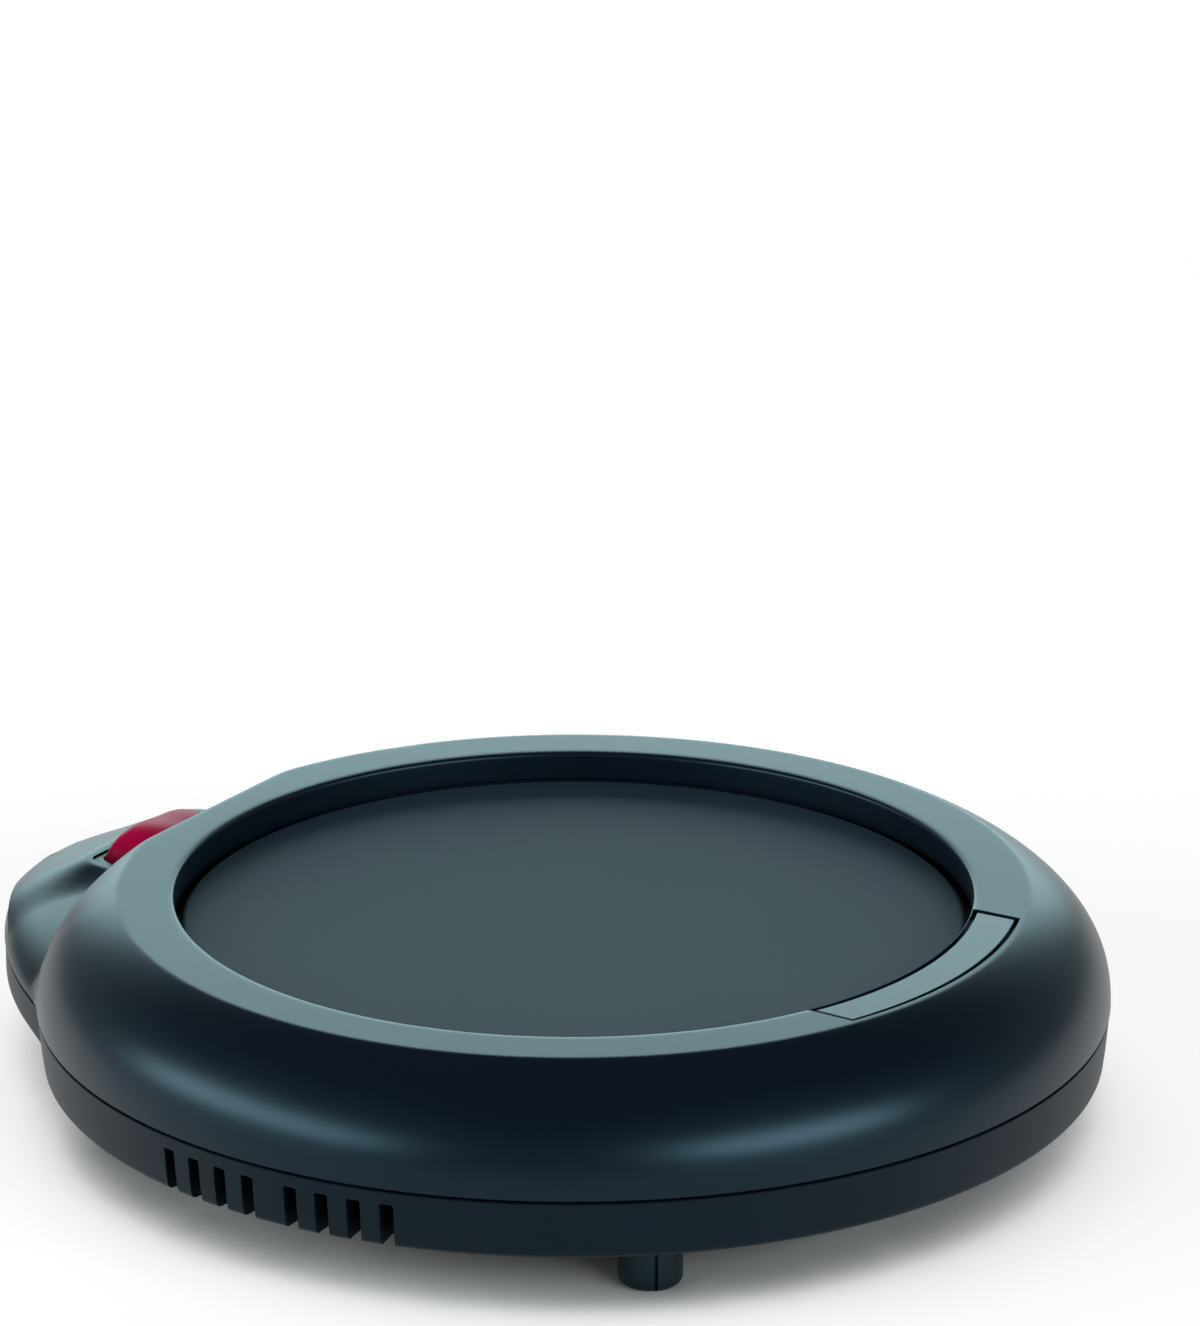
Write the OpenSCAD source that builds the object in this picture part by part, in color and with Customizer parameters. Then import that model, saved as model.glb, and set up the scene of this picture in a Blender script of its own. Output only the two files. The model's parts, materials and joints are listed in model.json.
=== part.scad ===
// Electric mug warmer: a heated plate at the bottom of a shallow round well, in a two-part plastic
// housing on four feet, with a lighted rocker switch on a low pod behind the ring.
// Millimetres. Z is the well's axis and z = 0 is the table. The pod points along +Y.

/* [Ring] */
// Radius of the well that takes the mug
well_r = 47.8; // [47:0.1:48.6]
// Depth of the well, from the land down to the heating plate
well_depth = 3.4; // [2.6:0.1:4.2]
// Width of the flat land around the well
land_w = 6.9; // [6.4:0.1:7.4]
// Width of the ring's rounded shoulder, from the land out to the side
shoulder_w = 9.8; // [9.2:0.1:11]
// Height of the chamber between the floor and the heating plate
chamber_h = 15.3; // [14.6:0.1:17]
// Height of the lower housing's bottom edge above the table
base_z = 7.2; // [6:0.1:8]
// Height of the joint line above the bottom edge
side_h = 7.3; // [7:0.1:7.8]
// How much the lower housing's side leans in towards its bottom edge
base_draft = 0.6; // [0.2:0.1:1.2]
// Radius of the lower housing's bottom edge
base_edge_r = 0.8; // [0.4:0.1:1.2]
// Wall thickness of both housings
wall = 2; // [1.8:0.1:2.2]
// Height of the shadow line between the two housings
joint_gap = 0.35; // [0.2:0.05:0.5]
// Height of the tongue that rises inside the joint
tongue_h = 1.5; // [1:0.1:2]
// Depth of the tongue's root below the joint
tongue_root = 1.6; // [1.4:0.1:1.8]
// Rounding of the lip round the well
lip_r = 0.4; // [0.2:0.05:0.5]

/* [Switch pod] */
// How much longer the radius of the pod's side curves is than the ring's
pod_side_more = 15.5; // [14.5:0.1:17]
// Sideways distance of a side curve's centre from the middle
pod_side_x = 26.6; // [25:0.1:28]
// Distance of a side curve's centre behind the well's axis
pod_side_y = 5.4; // [4.8:0.1:6]
// Radius of the pod's tip
pod_tip_r = 21.5; // [20:0.1:23]
// Height of the pod's flat top above the joint line
pod_h = 7.3; // [7:0.1:7.9]
// Height of the pod's underside above the bottom edge
pod_step = 2.8; // [2.4:0.1:3]
// Width of the slope between the pod's flat top and its side
pod_slope_w = 12; // [11:0.1:13]
// Thickness of the pod's floor
pod_floor = 1.4; // [1.2:0.1:1.6]
// Distance from the ring's side in to its straight rear wall
rear_inset = 11.5; // [11.3:0.1:11.7]
// Width of the flat rim of the raised seat round the switch
seat_rim = 1.3; // [1:0.1:1.6]
// Width of the seat's sloping flank
seat_flank = 5; // [4.4:0.1:5.6]

/* [Rocker switch] */
// Length of the rocker between its rounded ends
rocker_l = 21.5; // [20.5:0.1:22]
// Width of the rocker
rocker_w = 11.5; // [10.5:0.1:12]
// Height of the rocker's middle above its pivot
rocker_mid_h = 3.3; // [3:0.1:3.6]
// Height of each of the rocker's lobes above its pivot
rocker_lobe_h = 4.9; // [4.4:0.1:5.4]
// Distance of each lobe's crest from the middle
rocker_lobe_x = 7.6; // [7:0.1:8]
// Wall thickness of the rocker
rocker_wall = 1.3; // [1.1:0.1:1.5]
// Tilt of the rocker from level, each way
rocker_tilt = 7; // [5:0.5:8]
// Depth of the rocker's pivot below the pod's top
pivot_drop = 1.3; // [1.1:0.1:1.6]
// Clearance all round the rocker
rocker_gap = 0.35; // [0.3:0.05:0.4]
// Wall thickness of the switch body
body_wall = 1; // [0.9:0.05:1.1]
// Clearance between the switch body and its cut-out
cutout_gap = 0.15; // [0.1:0.05:0.2]
// Radius of the rocker's pivot pins
pivot_r = 0.95; // [0.8:0.05:1]
// Running clearance of the pivot pins
pivot_gap = 0.05; // [0.03:0.01:0.08]
// Tilt of the moving contact from level, each way
contact_tilt = 5; // [4:0.5:6]

/* [Vents] */
// Slots in each half of a vent group
vent_half_count = 4; // [3:1:5]
// Angle from one slot to the next, in degrees
vent_pitch = 3.62; // [3.4:0.02:3.8]
// Angle between the two middle slots of a group, in degrees
vent_middle = 5.3; // [4.6:0.1:6]
// Width of a slot
vent_w = 1.7; // [1.2:0.1:2]
// Height of the slots' tops above the table
vent_top_z = 12.9; // [12:0.1:13.2]
// How far each slot reaches in under the housing
vent_reach = 4.5; // [3.5:0.1:5]

/* [Feet] */
// Diameter of a foot
foot_d = 7.5; // [6.5:0.1:8.5]
// Distance from the ring's side in to the feet's centres
foot_inset = 10.5; // [9.5:0.1:12]
// Angle of the feet from the pod's axis, front and rear
foot_angle = 48; // [44:1:50]
// Rounding of a foot's lower edge
foot_edge_r = 1; // [0.5:0.1:1.4]

/* [Label] */
// Gap between the well's edge and the label
label_inset = 0.7; // [0.7:0.1:1]
// Width of the label
label_w = 5; // [4.4:0.1:5.2]
// Half the angle that the label covers at its inner edge, in degrees
label_half_in = 22.8; // [18:0.1:26]
// Half the angle that the label covers at its outer edge, in degrees
label_half_out = 20.8; // [16:0.1:22]
// Thickness of the label
label_t = 0.7; // [0.5:0.1:0.9]
// How far the label lies below the land
label_drop = 0.1; // [0.05:0.05:0.2]
// Width of the dark line round the label
label_gap = 0.25; // [0.15:0.05:0.3]

/* [Heater] */
// Gap between the heating plate and the well's wall
plate_gap = 0.7; // [0.5:0.1:0.9]
// Sheet thickness of the heating plate
plate_t = 1.2; // [1:0.1:1.4]
// Height of the heating plate from its flange to its face
plate_h = 4.2; // [4:0.1:4.6]
// Rounding of the heating plate's edge
plate_edge_r = 0.8; // [0.5:0.1:1]
// Thickness of the seal on the plate's flange
seal_t = 0.8; // [0.6:0.1:1]
// Thickness of each mica disc
mica_t = 0.5; // [0.4:0.1:0.6]
// Thickness of the heating ribbon
ribbon_t = 0.5; // [0.4:0.1:0.6]
// Width of the heating ribbon
ribbon_w = 2.2; // [1.8:0.1:2.4]
// Turns of the heating ribbon
ribbon_turns = 6; // [4:2:6]
// Radius of the innermost turn
ribbon_r = 10; // [9:0.1:11]
// Thickness of the clamp plate
clamp_t = 1.2; // [1:0.1:1.4]
// Thickness of the insulation pad
pad_t = 3; // [2.6:0.1:3.2]
// Thickness of the heat shield
shield_t = 0.6; // [0.5:0.1:0.8]
// Radius of the studs under the heating plate
stud_r = 1.25; // [1.1:0.05:1.3]
// Thickness of the ring that holds the heating plate
retainer_t = 1; // [0.8:0.1:1.2]

/* [Cord outlet] */
// Radius of the bore in the cord gland
cord_bore_r = 2; // [1.6:0.1:2.1]
// Half the width of the cord gland's square neck
gland_r = 2.8; // [2.6:0.05:2.9]
// Height of the cord gland's axis above the joint line
gland_rise = 0.5; // [0.3:0.1:0.7]

/* [Hidden] */
$fn = 96;
eps = 0.01;
fit = 0.05;                                  // radial clearance of screws and pins in their holes

// Ring
land_r = well_r + land_w;
ring_r = land_r + shoulder_w;                // at the joint line
joint_z = base_z + side_h;
shoulder_steps = 18;
floor_top_z = base_z + wall;
plate_z = floor_top_z + chamber_h;           // the heating plate's face
ring_h = plate_z + well_depth;               // the land
flange_z = plate_z - plate_h;                // underside of the heating plate's flange
seal_z = flange_z + plate_t;                 // the seal lies on the flange
well_wall_z = seal_z + seal_t;               // the well's wall stands on the seal
plate_r = well_r - plate_gap;
undercut = 0.5;                              // the well's wall steps back below the plate's face
undercut_r = well_r + undercut;
well_outer_r = well_r + wall;
flange_r = well_outer_r + 0.5;
lower_top_z = joint_z - joint_gap;
tongue_gap = 0.4;                            // between the tongue and the upper housing's walls

// Pod: two long side curves run into a small round tip
pod_side_r = ring_r + pod_side_more;
pod_tip_centre_y = pod_side_y + sqrt(pow(pod_side_r - pod_tip_r, 2) - pow(pod_side_x, 2));
pod_tip_y = pod_tip_centre_y + pod_tip_r;
pod_top_z = joint_z + pod_h;
pod_base_z = base_z + pod_step;
rear_wall_y = ring_r - rear_inset;
tip_angle = atan(pod_side_x / (pod_tip_centre_y - pod_side_y));
side_end_angle = 66;                         // each side curve ends inside the ring
pod_side_steps = 12;
pod_tip_steps = 10;
pod_steps = 10;
roof_z = pod_top_z - wall;

// Screws: the housing's own, and those of the plate's retaining ring
screw_r = 1.25;
boss_r = 3;
head_r = 2.7;
head_h = 1.6;
head_taper = 0.6;
screw_end_gap = 1.5;                         // left free in a boss beyond its screw
counterbore_r = head_r + 0.3;
boss_floor = 2.1;                            // plastic under a housing screw's head
ring_screw_inset = 8.5;
ring_screw_r = ring_r - ring_screw_inset;
ring_screw_angles = [80, 150, 210, 280];     // from the pod's axis
ring_boss_drop = 3.9;                        // from the land down to a ring boss's top
ring_boss_top_z = ring_h - ring_boss_drop;
pod_screw_gap = 1.5;                         // between the switch body and a pod screw's boss
pod_boss_top_z = roof_z - 0.6;
seat_corner_r = 3;
retainer_angles = [60, 180, 300];
retainer_boss_r = 2.7;
retainer_screw_r = flange_r + retainer_boss_r + 1.1;
retainer_boss_top_z = ring_h - 1.8;

// Cord gland: from inside the pod to just past its tip
gland_z = joint_z + gland_rise;
gland_in = 8.8;                              // from the pod's tip to the gland's inner end
gland_out = 1.8;                             // from the pod's tip to its outer end
gland_collar = 1.6;
gland_collar_r = gland_r + 0.6;
gland_y = pod_tip_y - gland_in;
gland_l = gland_in + gland_out;

// Feet
foot_at_r = ring_r - foot_inset;
foot_stem_r = 2.2;

// Rocker switch
rocker_y = rear_wall_y + cutout_gap + body_wall + rocker_gap + rocker_w / 2;
pivot_z = pod_top_z - pivot_drop;
rocker_end_r = rocker_l / 2;
rocker_skirt = 2.9;                          // how far the rocker reaches below its pivot
rocker_shoulder_h = 3.1;                     // where its round ends turn into its lobes
body_in_x = rocker_end_r + rocker_gap;
body_in_y = rocker_w / 2 + rocker_gap;
body_out_x = body_in_x + body_wall;
body_out_y = body_in_y + body_wall;
pod_screw_x = body_out_x + pod_screw_gap + boss_r;
pod_screw_y = rocker_y;
body_base_z = pod_base_z + pod_floor + 0.9;
body_floor_z = body_base_z + 0.9;
body_rim = 0.2;                              // the switch body stands this far above its seat
ledge = 1.2;                                 // reach of the switch body's two catches
ledge_w = 8;
ledge_h = 1.4;
terminal_t = 0.5;
ridge_r = 0.35;
contact_z = body_floor_z + terminal_t + ridge_r + 0.1;   // underside of the level contact
contact_t = 0.6;
contact_half_l = 5;
contact_w = 3.2;
plunger_r = 1.2;
plunger_tip = pivot_z - contact_z - contact_t - 0.15;    // depth of its tip below the pivot
spring_top = 1.2;
spring_wire_r = 0.2;
spring_turns = 4;
lamp_x = -6.8;
lamp_r = 1.5;
lamp_h = 6.2;
blade_w = 3.2;
blade_out = 3.1;                             // reach of the terminals out of the switch body
blade_y = rocker_y - body_out_y - blade_out;
side_x = 4.9;

// Heater stack, downwards from the plate
mica_upper_z = plate_z - plate_t - mica_t;
ribbon_z = mica_upper_z - ribbon_t;
mica_lower_z = ribbon_z - mica_t;
clamp_z = mica_lower_z - clamp_t;
pad_z = clamp_z - pad_t;
shield_z = pad_z - shield_t;
nut_h = 2;
nut_z = shield_z - nut_h;
stack_r = plate_r - plate_t - 1.4;
lower_stack_r = stack_r - 0.6;
post_r = 0.9;
post_x = 6;
post_gap = 1.9;                              // between the ribbon's last turn and the posts' axes
post_inset = 4.5;
post_y = stack_r - post_inset;
bush_r = 2.1;
ribbon_pitch = (post_y - post_gap - ribbon_w / 2 - ribbon_r) / (ribbon_turns - 1);
stud_at_r = ribbon_r + (ribbon_turns - 1.5) * ribbon_pitch;
stud_angles = [45, 135, 225, 315];
stud_end_z = nut_z - 0.4;
shield_lip = 1.6;
post_reach = 3.2;                            // of the posts below the heat shield
post_end_z = shield_z - post_reach;
ribbon_gap = 1.8;                            // half the gap across every turn

// Wiring
wire_r = 0.9;
fuse_r = 2;
fuse_l = 10;
fuse_tail = 4;
fuse_end = fuse_l / 2 + fuse_tail;
fuse_y = 22;
fuse_z = shield_z - fuse_r - 0.6;
bend = 3;                                    // length of a lead's short stretches
cap_r = 2.3;
cap_l = 9;
cap_gap = 2.1;                               // between a splice cap and the pod screw's boss
cap_x = pod_screw_x + boss_r + cap_r + cap_gap;
cap_y = rear_wall_y - 1.5;
cap_z = joint_z;
blade_z = body_floor_z + terminal_t / 2;

// ---------- Forms that several pieces share ----------

// Copies the children to each angle of a list, measured from the pod's axis.
module at_angles(angles, r) {
    for (a = angles) rotate([0, 0, a]) translate([0, r, 0]) children();
}

// A flat ring.
module annulus(r_in, r_out, z, h) {
    translate([0, 0, z]) difference() {
        cylinder(r = r_out, h = h);
        translate([0, 0, -1]) cylinder(r = r_in, h = h + 2);
    }
}

// Half outline of the ring's rounded shoulder, from the joint line up to the land.
function shoulder(r_side, r_top, z_top) = [
    for (i = [0 : shoulder_steps])
        let (a = 90 * (1 - i / shoulder_steps))
        [r_top + (r_side - r_top) * pow(sin(a), 1.8),
         joint_z + (z_top - joint_z) * pow(cos(a), 0.81)]
];

// Quarter round from the side to the top of a corner at [r, z], turning towards the axis.
function outer_round(r, z, radius, sign = 1) = [
    for (i = [0 : 4])
        let (a = 90 * i / 4)
        [r - sign * radius * (1 - cos(a)), z - radius * (1 - sin(a))]
];

// Outline of the pod's plan, drawn in by inset: a long side curve, the tip and the other side curve.
function pod_plan(inset) =
    let (
        side_r = pod_side_r - inset,
        tip_r = pod_tip_r - inset,
        right = [
            for (i = [0 : pod_side_steps])
                let (a = 90 - side_end_angle + (side_end_angle - tip_angle) * i / pod_side_steps)
                [side_r * cos(a) - pod_side_x, side_r * sin(a) + pod_side_y]
        ],
        tip = [
            for (i = [1 : pod_tip_steps - 1])
                let (a = 90 - tip_angle + 2 * tip_angle * i / pod_tip_steps)
                [tip_r * cos(a), tip_r * sin(a) + pod_tip_centre_y]
        ]
    )
    concat(right, tip, [for (i = [pod_side_steps : -1 : 0]) [-right[i][0], right[i][1]]]);

// Height of the pod's slope, for a flat top at z_top, at a distance in from its outline.
function slope_height(inset, z_top) =
    joint_z + (z_top - joint_z) * cos(asin(pow(max(0, 1 - inset / pod_slope_w), 1 / 3)));

module pod_slab(inset, z_low, z_top) {
    translate([0, 0, z_low]) linear_extrude(height = z_top - z_low) polygon(pod_plan(inset));
}

// The pod's side, slope and flat top, as one rounded form.
module pod_form(inset, z_low, z_top) {
    hull() {
        pod_slab(inset, z_low, joint_z + eps);
        for (i = [1 : pod_steps]) let (a = 90 * (1 - i / pod_steps))
            pod_slab(inset + pod_slope_w * (1 - pow(sin(a), 3)), joint_z,
                     joint_z + (z_top - joint_z) * cos(a));
    }
}

// Everything behind the straight rear wall.
module behind(y) {
    translate([-2 * ring_r, y, 0]) cube([4 * ring_r, 2 * ring_r, 2 * ring_h]);
}

module at_pod_screws() {
    for (side = [-1, 1]) translate([side * pod_screw_x, pod_screw_y, 0]) children();
}

// A pan-head screw with its head down: the head's underside is at z = 0.
module screw(length) {
    translate([0, 0, -head_h]) cylinder(r1 = head_r - head_taper, r2 = head_r, h = head_taper);
    translate([0, 0, head_taper - head_h]) cylinder(r = head_r, h = head_h - head_taper);
    cylinder(r = screw_r, h = length);
}

// The gland's own frame: its axis is Z, and z = 0 is its inner end.
module at_gland() {
    translate([0, gland_y, gland_z]) rotate([-90, 0, 0]) children();
}

// The gland's square neck, which sits between the two housings, grown by g.
module gland_neck(g, z, h) {
    translate([-gland_r - g, -gland_r - g, z]) cube([2 * (gland_r + g), 2 * (gland_r + g), h]);
}

module gland_hole() {
    at_gland() gland_neck(fit, -1, gland_l + 2);
}

// The label's outline, grown by g on every side.
module label_outline(g) {
    r_in = well_r + label_inset;
    r_out = r_in + label_w;
    inner = r_in * [sin(label_half_in), -cos(label_half_in)];
    outer = r_out * [sin(label_half_out), -cos(label_half_out)];
    down = (outer - inner) / norm(outer - inner);
    end = [inner - label_w * down, outer + label_w * down];
    grown = [for (p = end) p + g * [-down[1], down[0]]];
    intersection() {
        difference() {
            circle(r = r_out + g);
            circle(r = r_in - g);
        }
        polygon([grown[0], grown[1], [-grown[1][0], grown[1][1]], [-grown[0][0], grown[0][1]]]);
    }
}

// One closed tube through a list of points, with mitred bends.
module tube(points, r, sides = 8) {
    n = len(points);
    function unit(v) = v / norm(v);
    function along(i) = unit(
        (i > 0 ? unit(points[i] - points[i - 1]) : [0, 0, 0]) +
        (i < n - 1 ? unit(points[i + 1] - points[i]) : [0, 0, 0])
    );
    function across(i) = unit(cross([0, 0, 1], along(i)));
    rings = [
        for (i = [0 : n - 1])
            let (s = across(i), t = cross(along(i), s))
            for (k = [0 : sides - 1]) points[i] + r * (cos(360 * k / sides) * s + sin(360 * k / sides) * t)
    ];
    walls = [
        for (i = [0 : n - 2]) for (k = [0 : sides - 1])
            let (a = i * sides + k, b = i * sides + (k + 1) % sides)
            for (face = [[a, b, b + sides], [a, b + sides, a + sides]]) face
    ];
    first_end = [for (k = [0 : sides - 1]) sides - 1 - k];
    last_end = [for (k = [0 : sides - 1]) (n - 1) * sides + k];
    polyhedron(rings, concat(walls, [first_end, last_end]));
}

// ---------- Housing ----------

function ring_skin() = concat(
    [[well_r, plate_z]],
    outer_round(well_r, ring_h, lip_r, -1),
    [for (i = [shoulder_steps : -1 : 0]) shoulder(ring_r, land_r, ring_h)[i]]
);

// The ring's wall, land, shoulder and side as one moulded section.
module ring_shell() {
    rotate_extrude() polygon(concat(
        [[undercut_r, well_wall_z], [undercut_r, plate_z]],
        ring_skin(),
        shoulder(ring_r - wall, land_r - wall * 0.6, ring_h - wall),
        [[well_outer_r, ring_h - wall], [well_outer_r, well_wall_z]]
    ));
}

module ring_solid() {
    rotate_extrude() polygon(concat(ring_skin(), [[well_r, joint_z]]));
}

// The straight wall that closes the ring behind the rocker.
module rear_wall() {
    intersection() {
        ring_solid();
        translate([-ring_r, rear_wall_y - wall, roof_z]) cube([2 * ring_r, wall, ring_h]);
    }
}

// The front edge and the two round rear corners of a plan round the switch body, grown by g.
module seat_corners(g) {
    translate([-body_out_x - g, rear_wall_y - wall]) square([2 * (body_out_x + g), wall]);
    for (side = [-1, 1])
        translate([side * (body_out_x + g - seat_corner_r), rocker_y + body_out_y + g - seat_corner_r])
            circle(r = seat_corner_r, $fn = 32);
}

// The raised seat that carries the switch above the pod's sloping roof, drawn in by inset.
module switch_seat(inset, z_top) {
    hull() {
        translate([0, 0, z_top - 1]) linear_extrude(height = 1) seat_corners(seat_rim - inset);
        translate([0, 0, joint_z - inset])
            linear_extrude(height = 1) seat_corners(seat_rim + seat_flank - inset);
    }
}

// The ring's own inside, which the pod opens into below the rear wall.
module ring_inside() {
    intersection() {
        cylinder(r = ring_r - wall, h = 2 * ring_h);
        translate([-ring_r, -ring_r, 0]) union() {
            cube([2 * ring_r, ring_r + rear_wall_y - wall, 2 * ring_h]);
            cube([2 * ring_r, ring_r + rear_wall_y, roof_z]);
        }
    }
}

module pod_shell() {
    difference() {
        union() {
            pod_form(0, joint_z, pod_top_z);
            switch_seat(0, pod_top_z);
        }
        pod_form(wall, joint_z - 2, roof_z);
        switch_seat(wall, roof_z);
        ring_inside();
    }
}

module upper_shell() {
    difference() {
        ring_shell();
        behind(rear_wall_y);
    }
    rear_wall();
    pod_shell();
}

module upper_housing() {
    color([0.09, 0.13, 0.16]) difference() {
        union() {
            upper_shell();
            at_angles(ring_screw_angles, ring_screw_r)
                translate([0, 0, joint_z]) cylinder(r = boss_r, h = ring_boss_top_z - joint_z);
            at_pod_screws()
                translate([0, 0, joint_z]) cylinder(r = boss_r, h = pod_boss_top_z - joint_z);
            at_angles(retainer_angles, retainer_screw_r)
                translate([0, 0, flange_z])
                    cylinder(r = retainer_boss_r, h = retainer_boss_top_z - flange_z);
        }
        at_angles(ring_screw_angles, ring_screw_r)
            translate([0, 0, joint_z - 1]) cylinder(r = screw_r + fit, h = ring_boss_top_z - joint_z);
        at_pod_screws()
            translate([0, 0, joint_z - 1]) cylinder(r = screw_r + fit, h = pod_boss_top_z - joint_z);
        at_angles(retainer_angles, retainer_screw_r)
            translate([0, 0, flange_z - 1])
                cylinder(r = screw_r + fit, h = retainer_boss_top_z - flange_z);
        translate([-body_out_x - cutout_gap, rear_wall_y, joint_z - 1])
            cube([2 * (body_out_x + cutout_gap), 2 * (body_out_y + cutout_gap), ring_h]);
        translate([0, 0, ring_h - label_t - label_drop])
            linear_extrude(height = 2 * label_t) label_outline(label_gap);
        gland_hole();
    }
}

module vent_slots() {
    for (side = [90, 270]) for (half = [-1, 1]) for (i = [0 : vent_half_count - 1])
        rotate([0, 0, side + half * (vent_middle / 2 + i * vent_pitch)])
            translate([-vent_w / 2, ring_r - vent_reach, 0]) {
                cube([vent_w, vent_reach + 2, vent_top_z - vent_w / 2]);
                translate([vent_w / 2, 0, vent_top_z - vent_w / 2])
                    rotate([-90, 0, 0]) cylinder(r = vent_w / 2, h = vent_reach + 2);
            }
}

// A boss that takes a housing screw from below, with its counterbore.
module lower_boss(z_low) {
    translate([0, 0, z_low]) cylinder(r = boss_r + 0.9, h = joint_z - z_low);
}

module lower_boss_bore(z_low) {
    translate([0, 0, z_low - 1]) cylinder(r = counterbore_r, h = joint_z - boss_floor - z_low + 1);
    cylinder(r = screw_r + 3 * fit, h = 2 * joint_z);
}

module lower_shell() {
    difference() {
        union() {
            rotate_extrude() polygon(concat(
                [[0, base_z]],
                [for (i = [0 : 4])
                    let (a = 90 * i / 4)
                    [ring_r - 0.1 - base_draft - base_edge_r * (1 - sin(a)),
                     base_z + base_edge_r * (1 - cos(a))]],
                [[ring_r - 0.1, lower_top_z], [0, lower_top_z]]
            ));
            pod_slab(0.1, pod_base_z, lower_top_z);
        }
        translate([0, 0, floor_top_z]) cylinder(r = ring_r - wall - base_draft, h = joint_z);
        pod_slab(wall, pod_base_z + pod_floor, joint_z + 1);
    }
}

module tongue() {
    difference() {
        union() {
            translate([0, 0, lower_top_z - tongue_root])
                cylinder(r = ring_r - wall - tongue_gap, h = tongue_root + tongue_h);
            pod_slab(wall - eps, lower_top_z - tongue_root, lower_top_z);
            intersection() {
                pod_slab(wall + 1.2, lower_top_z - tongue_root, lower_top_z + tongue_h);
                behind(rear_wall_y + tongue_gap);
            }
        }
        cylinder(r = ring_r - wall - 1.5, h = 2 * joint_z);
        pod_slab(wall + 2.3, 0, 2 * joint_z);
    }
}

module lower_housing() {
    color([0.08, 0.12, 0.15]) difference() {
        union() {
            lower_shell();
            tongue();
            at_angles(ring_screw_angles, ring_screw_r) lower_boss(base_z);
            at_pod_screws() lower_boss(pod_base_z);
        }
        at_angles(ring_screw_angles, ring_screw_r) lower_boss_bore(base_z);
        at_pod_screws() lower_boss_bore(pod_base_z);
        vent_slots();
        at_feet() cylinder(r = foot_stem_r, h = 2 * base_z);
        gland_hole();
    }
}

module label_plate() {
    color([0.42, 0.5, 0.52]) translate([0, 0, ring_h - label_t - label_drop])
        linear_extrude(height = label_t) label_outline(0);
}

// ---------- Heater ----------

module heating_plate() {
    color([0.2, 0.26, 0.3]) {
        rotate_extrude() polygon(concat(
            [[0, plate_z - plate_t], [plate_r - plate_t, plate_z - plate_t],
             [plate_r - plate_t, flange_z], [flange_r, flange_z], [flange_r, seal_z],
             [plate_r, seal_z]],
            outer_round(plate_r, plate_z, plate_edge_r),
            [[0, plate_z]]
        ));
        at_angles(stud_angles, stud_at_r)
            translate([0, 0, stud_end_z]) cylinder(r = stud_r, h = plate_z - plate_t - stud_end_z + eps);
    }
}

module plate_seal() {
    color([0.55, 0.2, 0.14]) annulus(undercut_r, well_outer_r, seal_z, seal_t);
}

module plate_retainer() {
    color([0.7, 0.71, 0.73]) difference() {
        union() {
            translate([0, 0, flange_z - retainer_t]) cylinder(r = flange_r, h = retainer_t);
            at_angles(retainer_angles, flange_r - 3)
                translate([-retainer_boss_r - 0.4, 0, flange_z - retainer_t])
                    cube([2 * retainer_boss_r + 0.8, retainer_screw_r - flange_r + 3, retainer_t]);
            at_angles(retainer_angles, retainer_screw_r)
                translate([0, 0, flange_z - retainer_t])
                    cylinder(r = retainer_boss_r + 0.4, h = retainer_t);
        }
        cylinder(r = plate_r - plate_t + 0.6, h = 2 * ring_h);
        at_angles(retainer_angles, retainer_screw_r) cylinder(r = screw_r + 3 * fit, h = 2 * ring_h);
    }
}

module retainer_screws() {
    color([0.75, 0.76, 0.78]) at_angles(retainer_angles, retainer_screw_r)
        translate([0, 0, flange_z - retainer_t]) screw(retainer_boss_top_z - flange_z - screw_end_gap);
}

module at_posts() {
    for (side = [-1, 1]) translate([side * post_x, post_y, 0]) children();
}

// One disc of the stack with its stud holes, and holes for the posts where they pass.
module stack_disc(r, z, t, post_hole_r = 0) {
    translate([0, 0, z]) difference() {
        cylinder(r = r, h = t);
        at_angles(stud_angles, stud_at_r)
            translate([0, 0, -1]) cylinder(r = stud_r + 3 * fit, h = t + 2);
        if (post_hole_r > 0)
            at_posts() translate([0, 0, -1]) cylinder(r = post_hole_r, h = t + 2);
    }
}

module mica_upper() {
    color([0.78, 0.72, 0.58]) stack_disc(stack_r, mica_upper_z, mica_t);
}

module mica_lower() {
    color([0.78, 0.72, 0.58]) stack_disc(stack_r, mica_lower_z, mica_t, post_r + 0.1);
}

// A flat bar of the ribbon, from one point to another.
module ribbon_bar(from, to) {
    d = to - from;
    translate([from[0], from[1], ribbon_z]) rotate([0, 0, atan2(d[1], d[0])])
        translate([-ribbon_w / 2, -ribbon_w / 2, 0]) cube([norm(d) + ribbon_w, ribbon_w, ribbon_t]);
}

function turn_r(i) = ribbon_r + i * ribbon_pitch;

// A point on turn i beside the gap, on the side given as -1 or 1.
function turn_end(i, side) =
    let (x = ribbon_gap + ribbon_w / 2) [side * x, sqrt(pow(turn_r(i), 2) - x * x)];

module heating_ribbon() {
    last = ribbon_turns - 1;
    color([0.62, 0.55, 0.42]) {
        for (i = [0 : last]) {
            half = asin(ribbon_gap / turn_r(i)) + 2;
            translate([0, 0, ribbon_z]) rotate([0, 0, 90 + half])
                rotate_extrude(angle = 360 - 2 * half)
                    translate([turn_r(i) - ribbon_w / 2, 0]) square([ribbon_w, ribbon_t]);
            side = i % 2 == 0 ? 1 : -1;
            if (i < last) ribbon_bar(turn_end(i, side), turn_end(i + 1, side));
        }
        ribbon_bar(turn_end(0, -1), [0, turn_r(0) - 1]);
        ribbon_bar([0, turn_r(0) - 1], [0, post_y]);
        ribbon_bar([0, post_y], [post_x, post_y]);
        ribbon_bar(turn_end(last, -1), [-post_x, post_y]);
    }
}

module clamp_plate() {
    color([0.66, 0.67, 0.69]) stack_disc(lower_stack_r, clamp_z, clamp_t, bush_r + 0.1);
}

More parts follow.
